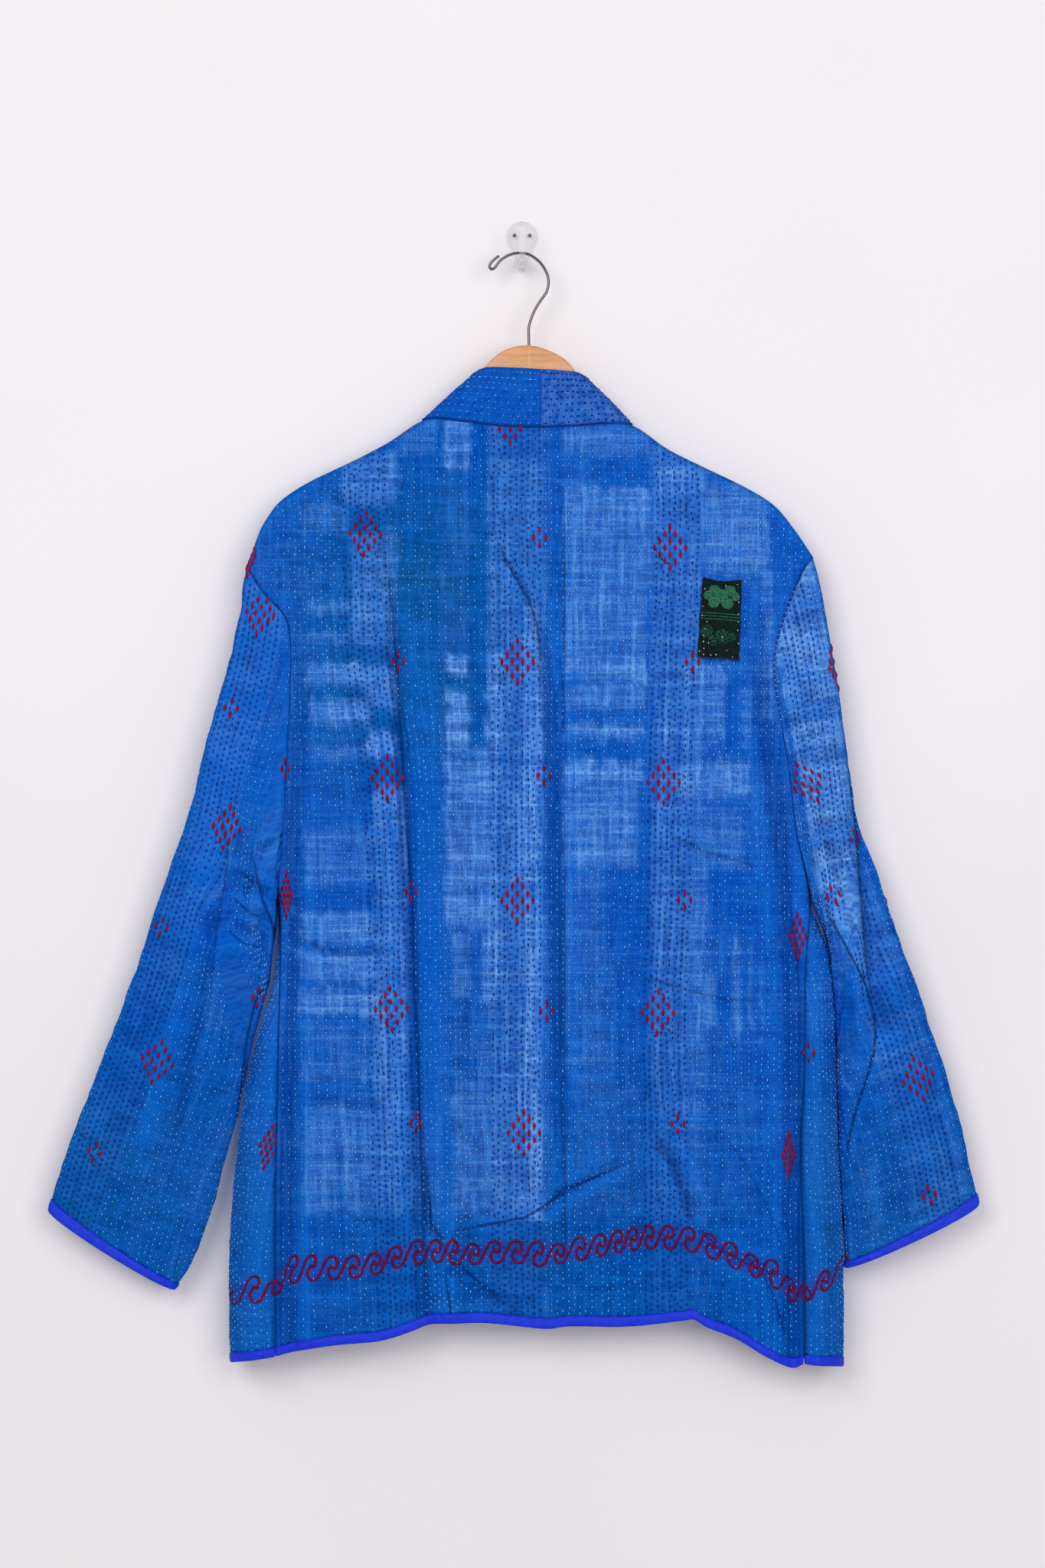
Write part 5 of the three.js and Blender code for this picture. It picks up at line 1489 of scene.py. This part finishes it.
def tape_cloth(surface, shares, start, seed, ring):
    """Grid of a tape over the last part of a panel, rounded and puckered."""
    u, v = np.meshgrid(shares, np.linspace(start - 0.0018, 1, 8))
    points = surface(u, v)
    facing = facing_of(points, ring)
    step = points[0] - np.roll(points[0], 1, axis=0)
    run = np.cumsum(np.linalg.norm(step, axis=1)) - np.linalg.norm(step[0])
    across = run[None, :] * np.ones_like(u)
    rise = np.linspace(0, 1, 8)[:, None]
    gather = lattice_noise(across, rise * 5 * np.ones_like(u), 4.5, 9, seed) * np.sin(math.pi * rise)
    height = 0.1 + 0.8 * np.sin(math.pi * rise) ** 0.6 + 0.6 * gather
    points = points + facing * height[..., None]
    return {"points": points, "facing": facing_of(points, ring), "across": across,
            "along": rise * tape_width * np.ones_like(u), "ring": ring}


def front_places(side):
    return lambda u, v: front_surface(side)(u, v)[0]


tape_thickness = 2.6
hem_start, cuff_start = 1 - binding_share, 1 - cuff_share
back_shares = np.linspace(0.0015, 0.9985, 260)
front_shares = np.linspace(0.0025, 0.9975, 130)
cuff_shares = np.arange(120) / 120
tapes = [
    ("hem_binding_back", "back", back_surface, back_shares, hem_start, 0.475),
    ("hem_binding_front_left", "front_left", front_places(-1), front_shares, hem_start, 0.24),
    ("hem_binding_front_right", "front_right", front_places(1), front_shares, hem_start, 0.27),
    ("cuff_binding_left", "sleeve_left", sleeve_surface(-1)[0], cuff_shares, cuff_start, 0.26),
    ("cuff_binding_right", "sleeve_right", sleeve_surface(1)[0], cuff_shares, cuff_start, 0.26),
]
tape_stitches = []
for number, (tape_name, held_panel, surface, shares, start, tape_length) in enumerate(tapes):
    cloth = tape_cloth(surface, shares, start, 90 + number, ring=start == cuff_start)
    tape = cloth_shell("tape_" + tape_name, cloth, binding_tape, wall=tape_thickness)
    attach(tape, "root")
    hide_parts(tape_name)
    ways = np.gradient(cloth["points"][1], axis=0)
    tape_stitches += list(zip(cloth["points"][1], ways, cloth["facing"][1]))
sewn("binding_seams", tape_stitches[::2], binding_thread,
     length=2.2, width=0.7, height=0.6, seed=14)


# Patch: a small worn piece of dark brocade on the right shoulder blade, with a woven flower, three
# fine lines and a mottled ground. Its edges are raw, frayed below, and small pale knots hold it down.
patch_corners = np.array([(155.1, -298.3), (188.1, -300.3), (185.5, -369.6), (149.8, -366.3)])
patch_width, patch_height = 34, 69
patch_columns, patch_rows = 40, 80
patch_thickness = 0.9
patch_lift = 1.75
u, v = np.meshgrid(np.linspace(0, 1, patch_columns + 1), np.linspace(0, 1, patch_rows + 1))
top_side = patch_corners[0] * (1 - u[..., None]) + patch_corners[1] * u[..., None]
low_side = patch_corners[3] * (1 - u[..., None]) + patch_corners[2] * u[..., None]
flat_patch = top_side * (1 - v[..., None]) + low_side * v[..., None]
ragged = 0.55 * lattice_noise(u * patch_width, v * patch_height, 3.2, 3.2, 101)
ragged_side = np.where((u == 0) | (u == 1), ragged, 0)
ragged_end = np.where(v == 0, 0.6 * ragged, 0) + np.where(v == 1, 1.5 * ragged, 0)
patch_x = flat_patch[..., 0] + ragged_side
patch_z = flat_patch[..., 1] + ragged_end - 2.6 * np.sin(math.pi * u) * (1 - smooth_share(v, 0, 0.16))
patch_points = np.stack([patch_x, back_face_depth(patch_x, patch_z), patch_z], axis=-1)
patch_facing = facing_of(patch_points)
patch_swell = 0.35 * lattice_noise(u * patch_width, v * patch_height, 7, 9, 102)
patch_swell = patch_swell * np.sin(math.pi * u) * np.sin(math.pi * v)
patch_points = patch_points + patch_facing * (patch_lift + patch_swell)[..., None]
patch_cloth = {"points": patch_points, "facing": facing_of(patch_points), "across": u * patch_width,
               "along": -v * patch_height, "ring": False}
brocade, tree, output = new_material("worn_brocade")
cut = add_node(tree, "ShaderNodeUVMap", uv_map="cut_cloth").outputs["UV"]
cut_split = add_node(tree, "ShaderNodeSeparateXYZ", {0: cut})
flower_lobes = [
    (11, -10.6, 5.3), (24.4, -10.2, 5.3), (5.4, -15.6, 4.1), (29.2, -15.4, 4.1), (10.8, -21.2, 5.2),
    (22.6, -21.6, 5.2), (17, -15.8, 6.4),
]
low_lobes = [(6.4, -47.0, 6.4), (19.5, -50.2, 7.2), (27.4, -49.8, 4.6), (12.5, -54, 5)]


def lobed(lobes, sharpness):
    """1 inside any of the round lobes, each (across, along, radius) in millimetres, 0 outside them."""
    inside = None
    for across, along, radius in lobes:
        dx = sums(tree, "SUBTRACT", cut_split.outputs["X"], across * 0.001)
        dz = sums(tree, "SUBTRACT", cut_split.outputs["Y"], along * 0.001)
        squares = [sums(tree, "MULTIPLY", off, off) for off in (dx, dz)]
        off = sums(tree, "SQRT", sums(tree, "ADD", *squares))
        lobe = sums(tree, "MULTIPLY", sums(tree, "SUBTRACT", radius * 0.001, off), sharpness, clamp=True)
        inside = lobe if inside is None else sums(tree, "MAXIMUM", inside, lobe)
    return inside


flower = lobed(flower_lobes, 1500)
line_spacing = 0.0025
lines_middle = 0.0333
line_middle = sums(tree, "ADD", cut_split.outputs["Y"], lines_middle)
lines_wave = sums(tree, "COSINE", sums(tree, "MULTIPLY", line_middle, 2 * math.pi / line_spacing))
lines_here = sums(tree, "LESS_THAN", sums(tree, "ABSOLUTE", line_middle), 0.0033)
fine_lines = sums(tree, "MULTIPLY", sums(tree, "GREATER_THAN", lines_wave, 0.72), lines_here)
mottle = noise(tree, cut, 700, 3)
mottled = sums(tree, "MULTIPLY", sums(tree, "MULTIPLY_ADD", mottle, 7, -3.0, clamp=True),
               lobed(low_lobes, 500))
specks = sums(tree, "MULTIPLY", sums(tree, "MULTIPLY_ADD", mottle, 9, -5.3, clamp=True), 0.35)
figure = sums(tree, "MAXIMUM", fine_lines, sums(tree, "MULTIPLY", mottled, 0.5))
figure = sums(tree, "MAXIMUM", sums(tree, "MAXIMUM", flower, figure), specks)
worn = noise(tree, cut, 900, 2)
unworn = sums(tree, "MULTIPLY_ADD", mottle, 3.4, -1.0, clamp=True)
figure_share = sums(tree, "MULTIPLY", figure, unworn, clamp=True)
brocade_colour = blend_colours(tree, worn, (0.0004, 0.004, 0.004), (0.0015, 0.012, 0.011))
brocade_colour = blend_colours(tree, figure_share, brocade_colour, (0.030, 0.190, 0.105))
rib_sizes = {"Vector": cut, "Scale": 520, "Distortion": 0.6}
brocade_ribs = add_node(tree, "ShaderNodeTexWave", rib_sizes, bands_direction="Y").outputs["Fac"]
brocade_relief = sums(tree, "MULTIPLY_ADD", figure, 0.8, sums(tree, "MULTIPLY", brocade_ribs, 0.5))
brocade_rough = sums(tree, "MULTIPLY_ADD", figure, -0.2, 0.72)
finish_surface(tree, output, brocade_colour, brocade_rough, bumped(tree, brocade_relief, 0.0004, 0.8),
               {"Specular IOR Level": 0.12})
patch = cloth_shell("worn_patch", patch_cloth, brocade, wall=patch_thickness)
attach(patch, "root")
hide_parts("patch")

patch_knots = [
    (31, -4.7), (20.7, -5.6), (32.4, -30), (32.4, -37), (32, -43.7), (6.1, -39), (5.2, -44.6),
    (4.2, -51.2), (4.2, -56.4), (8.9, -57.3), (4.7, -62.5), (1.4, -64.4), (5.2, -67), (11.3, -67.2),
    (29, -67.6), (24, -62), (19.7, -51.2), (15, -66.5), (33, -55), (32.5, -20), (2.5, -10), (1.6, -26),
    (1.4, -34),
]
knot_spots = []
for across, along in patch_knots:
    r, c = round(-along / patch_height * patch_rows), round(across / patch_width * patch_columns)
    knot_spots.append((patch_points[r, c], (0.3 * (c % 3 - 1), 0, 1), patch_cloth["facing"][r, c]))
white_thread = thread_material("white_thread", (0.55, 0.70, 0.62), (0.80, 0.86, 0.80))
sewn("patch_stitches", knot_spots, white_thread, length=1.7, width=0.95, height=0.7,
     unevenness=0.4, seed=15)
fray_spots = []
for c in range(patch_columns + 1):
    torn_edge = patch_points[patch_rows, c] + np.array([0, 0.3, -0.8])
    fray_spots.append((torn_edge, (0.2 * (c % 3 - 1), 0, 1), patch_cloth["facing"][patch_rows - 1, c]))
fray_thread = thread_material("fray_thread", (0.006, 0.030, 0.026), (0.02, 0.07, 0.06))
sewn("patch_fray", fray_spots, fray_thread, length=4.2, width=0.5, height=0.4,
     unevenness=0.5, seed=16)


# Hanger: a flat board of pale varnished wood with rounded edges, a crowned middle and sloping arms,
# and a hook of bright round wire that screws into the crown and ends in a small turned eye.
hanger_top = [
    (-211, -243), (-203, -236), (-180, -220), (-145, -204), (-112, -188), (-86, -178), (-63, -154),
    (-44, -131), (-36, -121.5), (-27.7, -111.5), (-14.5, -101.6), (5.3, -97.7), (25, -103),
    (38.3, -110.9), (47, -121.4), (56, -132), (74, -155), (95, -180), (124, -192), (160, -210),
    (190, -225), (214, -240), (222, -247),
]
hanger_underside = [
    (226, -256), (222, -266), (211, -268), (170, -246), (110, -214), (60, -184), (30, -168), (6, -163),
    (-18, -168), (-48, -184), (-98, -212), (-158, -242), (-200, -263), (-211, -262), (-216, -252),
]
hanger_plane = -22.5
hanger_thickness = 11
edge_round = 1.6
outline = spline_points(hanger_top + hanger_underside, 10, 0.5, closed=True)
tangent = np.roll(outline, -1, 0) - np.roll(outline, 1, 0)
inwards = unit(np.stack([tangent[:, 2], tangent[:, 1], -tangent[:, 0]], axis=-1))
rings = []
for angle in np.linspace(0, math.pi / 2, 5):
    inset = edge_round * (1 - math.sin(angle))
    rings.append((inset, -hanger_thickness / 2 + edge_round * (1 - math.cos(angle))))
rings += [(inset, -depth) for inset, depth in rings[::-1]]
board_points = np.vstack([
    outline + inwards * inset + np.array([0, hanger_plane + depth, 0]) for inset, depth in rings
])
count = len(outline)
board_faces = [
    (k * count + i, k * count + (i + 1) % count, (k + 1) * count + (i + 1) % count, (k + 1) * count + i)
    for k in range(len(rings) - 1) for i in range(count)
]
board_faces += [tuple(range(count))[::-1], tuple(range((len(rings) - 1) * count, len(rings) * count))]
varnished_wood, tree, output = new_material("varnished_wood")
place = add_node(tree, "ShaderNodeTexCoord").outputs["Object"]
stretch = add_node(tree, "ShaderNodeMapping", {"Vector": place, "Scale": (16, 60, 240)}).outputs[0]
wood_grain = noise(tree, stretch, 1, 4, Distortion=0.4)
pores = noise(tree, stretch, 5, 2)
wood_split = add_node(tree, "ShaderNodeSeparateXYZ", {0: place})
joint_place = 0.006
off_joint = sums(tree, "ABSOLUTE", sums(tree, "SUBTRACT", wood_split.outputs["X"], joint_place))
joint_line = sums(tree, "LESS_THAN", off_joint, 0.00035)
pore_marks = sums(tree, "GREATER_THAN", pores, 0.62)
dark_grain = sums(tree, "MULTIPLY_ADD", wood_grain, 2.2, -0.6, clamp=True)
wood_colour = blend_colours(tree, dark_grain, (0.74, 0.36, 0.150), (0.56, 0.235, 0.085))
wood_colour = blend_colours(tree, sums(tree, "MULTIPLY", pore_marks, 0.3), wood_colour, (0.36, 0.13, 0.04))
wood_colour = blend_colours(tree, sums(tree, "MULTIPLY", joint_line, 0.5), wood_colour, (0.84, 0.52, 0.27))
wood_rough = sums(tree, "MULTIPLY_ADD", pores, 0.2, 0.26)
finish_surface(tree, output, wood_colour, wood_rough, bumped(tree, wood_grain, 0.0003, 0.3),
               {"Coat Weight": 0.35, "Coat Roughness": 0.18})
board = mesh_piece("hanger_wood_board", board_points, board_faces, varnished_wood)
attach(board, "root")
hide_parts("hanger_wood")

wire_path = [
    (5.9, -99.5), (5.7, -90), (5.6, -83.8), (6.6, -77.9), (10.6, -67.3), (15.8, -58.7), (21.1, -50.8),
    (22.8, -42.9), (21.8, -36.3), (17.2, -27.7), (11.9, -22.4), (5.3, -18.5), (0, -17.5), (-6.6, -17.8),
    (-12.5, -19.8), (-17.8, -23.1), (-21.2, -26.8), (-23.8, -30.3), (-26.4, -31.4), (-28.2, -29.4),
    (-27.1, -26.2), (-24.3, -23.3), (-21.5, -20.9), (-19.8, -20.2),
]
bright_wire, tree, output = new_material("bright_wire")
place = add_node(tree, "ShaderNodeTexCoord").outputs["Object"]
wire_marks = noise(tree, place, 700, 3)
wire_colour = blend_colours(tree, wire_marks, (0.060, 0.042, 0.052), (0.17, 0.14, 0.155))
wire_rough = sums(tree, "MULTIPLY_ADD", wire_marks, 0.2, 0.14)
finish_surface(tree, output, wire_colour, wire_rough, bumped(tree, wire_marks, 0.0001, 0.25),
               {"Metallic": 1, "Coat Weight": 0.5, "Coat Roughness": 0.06})


def wire_mesh(stations, radius, sides=14):
    """Points and faces of a round wire along stations in the hanger's plane, closed at both ends."""
    line = spline_points(stations, 14, 0.5) + np.array([0, hanger_plane, 0])
    deep = np.array([0, 1.0, 0])
    flat = np.cross(unit(np.gradient(line, axis=0)), deep)
    turns = np.arange(sides) / sides * 2 * math.pi
    rings = [p + radius * (math.cos(t) * f + math.sin(t) * deep) for p, f in zip(line, flat) for t in turns]
    faces = [
        (k * sides + i, (k + 1) * sides + i, (k + 1) * sides + (i + 1) % sides, k * sides + (i + 1) % sides)
        for k in range(len(line) - 1) for i in range(sides)
    ]
    faces += [tuple(range(sides)), tuple(range((len(line) - 1) * sides, len(line) * sides))[::-1]]
    return np.array(rings), faces


wire_points, wire_faces = wire_mesh(wire_path, radius=1.2)
wire = mesh_piece("hanger_hook_wire", wire_points, wire_faces, bright_wire)
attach(wire, "root")
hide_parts("hanger_hook")


# Wall hook: one moulded piece of clear plastic, a teardrop plate with an arm that carries the wire,
# held to the wall by two small steel nails.
clear_plastic, tree, output = new_material("clear_plastic")
place = add_node(tree, "ShaderNodeTexCoord").outputs["Object"]
mould_flow = noise(tree, place, 90, 2)
flowed = bumped(tree, mould_flow, 0.0002, 0.2)
plastic_shader = add_node(tree, "ShaderNodeBsdfPrincipled", {
    "Base Color": blend_colours(tree, mould_flow, (0.86, 0.88, 0.90), (0.95, 0.96, 0.98)),
    "Roughness": sums(tree, "MULTIPLY_ADD", mould_flow, 0.1, 0.08), "Normal": flowed,
    "Transmission Weight": 0.4, "IOR": 1.46, "Coat Weight": 0.4,
})
edge_on = add_node(tree, "ShaderNodeLayerWeight", {"Blend": 0.45, "Normal": flowed}).outputs["Facing"]
solid_share = sums(tree, "MULTIPLY_ADD", edge_on, 0.7, 0.22, clamp=True)
see_through = add_node(tree, "ShaderNodeBsdfTransparent")
plastic_mixed = add_node(tree, "ShaderNodeMixShader", {
    0: solid_share, 1: see_through.outputs[0], 2: plastic_shader.outputs[0],
})
tree.links.new(plastic_mixed.outputs[0], output.inputs["Surface"])
for node_name, finish in (
    ("wall_hook", clear_plastic), ("wall_hook_nail_left", bright_wire), ("wall_hook_nail_right", bright_wire),
):
    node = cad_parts[node_name]
    for slot_index in range(max(1, len(node.material_slots))):
        if node.material_slots:
            node.material_slots[slot_index].material = finish
        else:
            node.data.materials.append(finish)
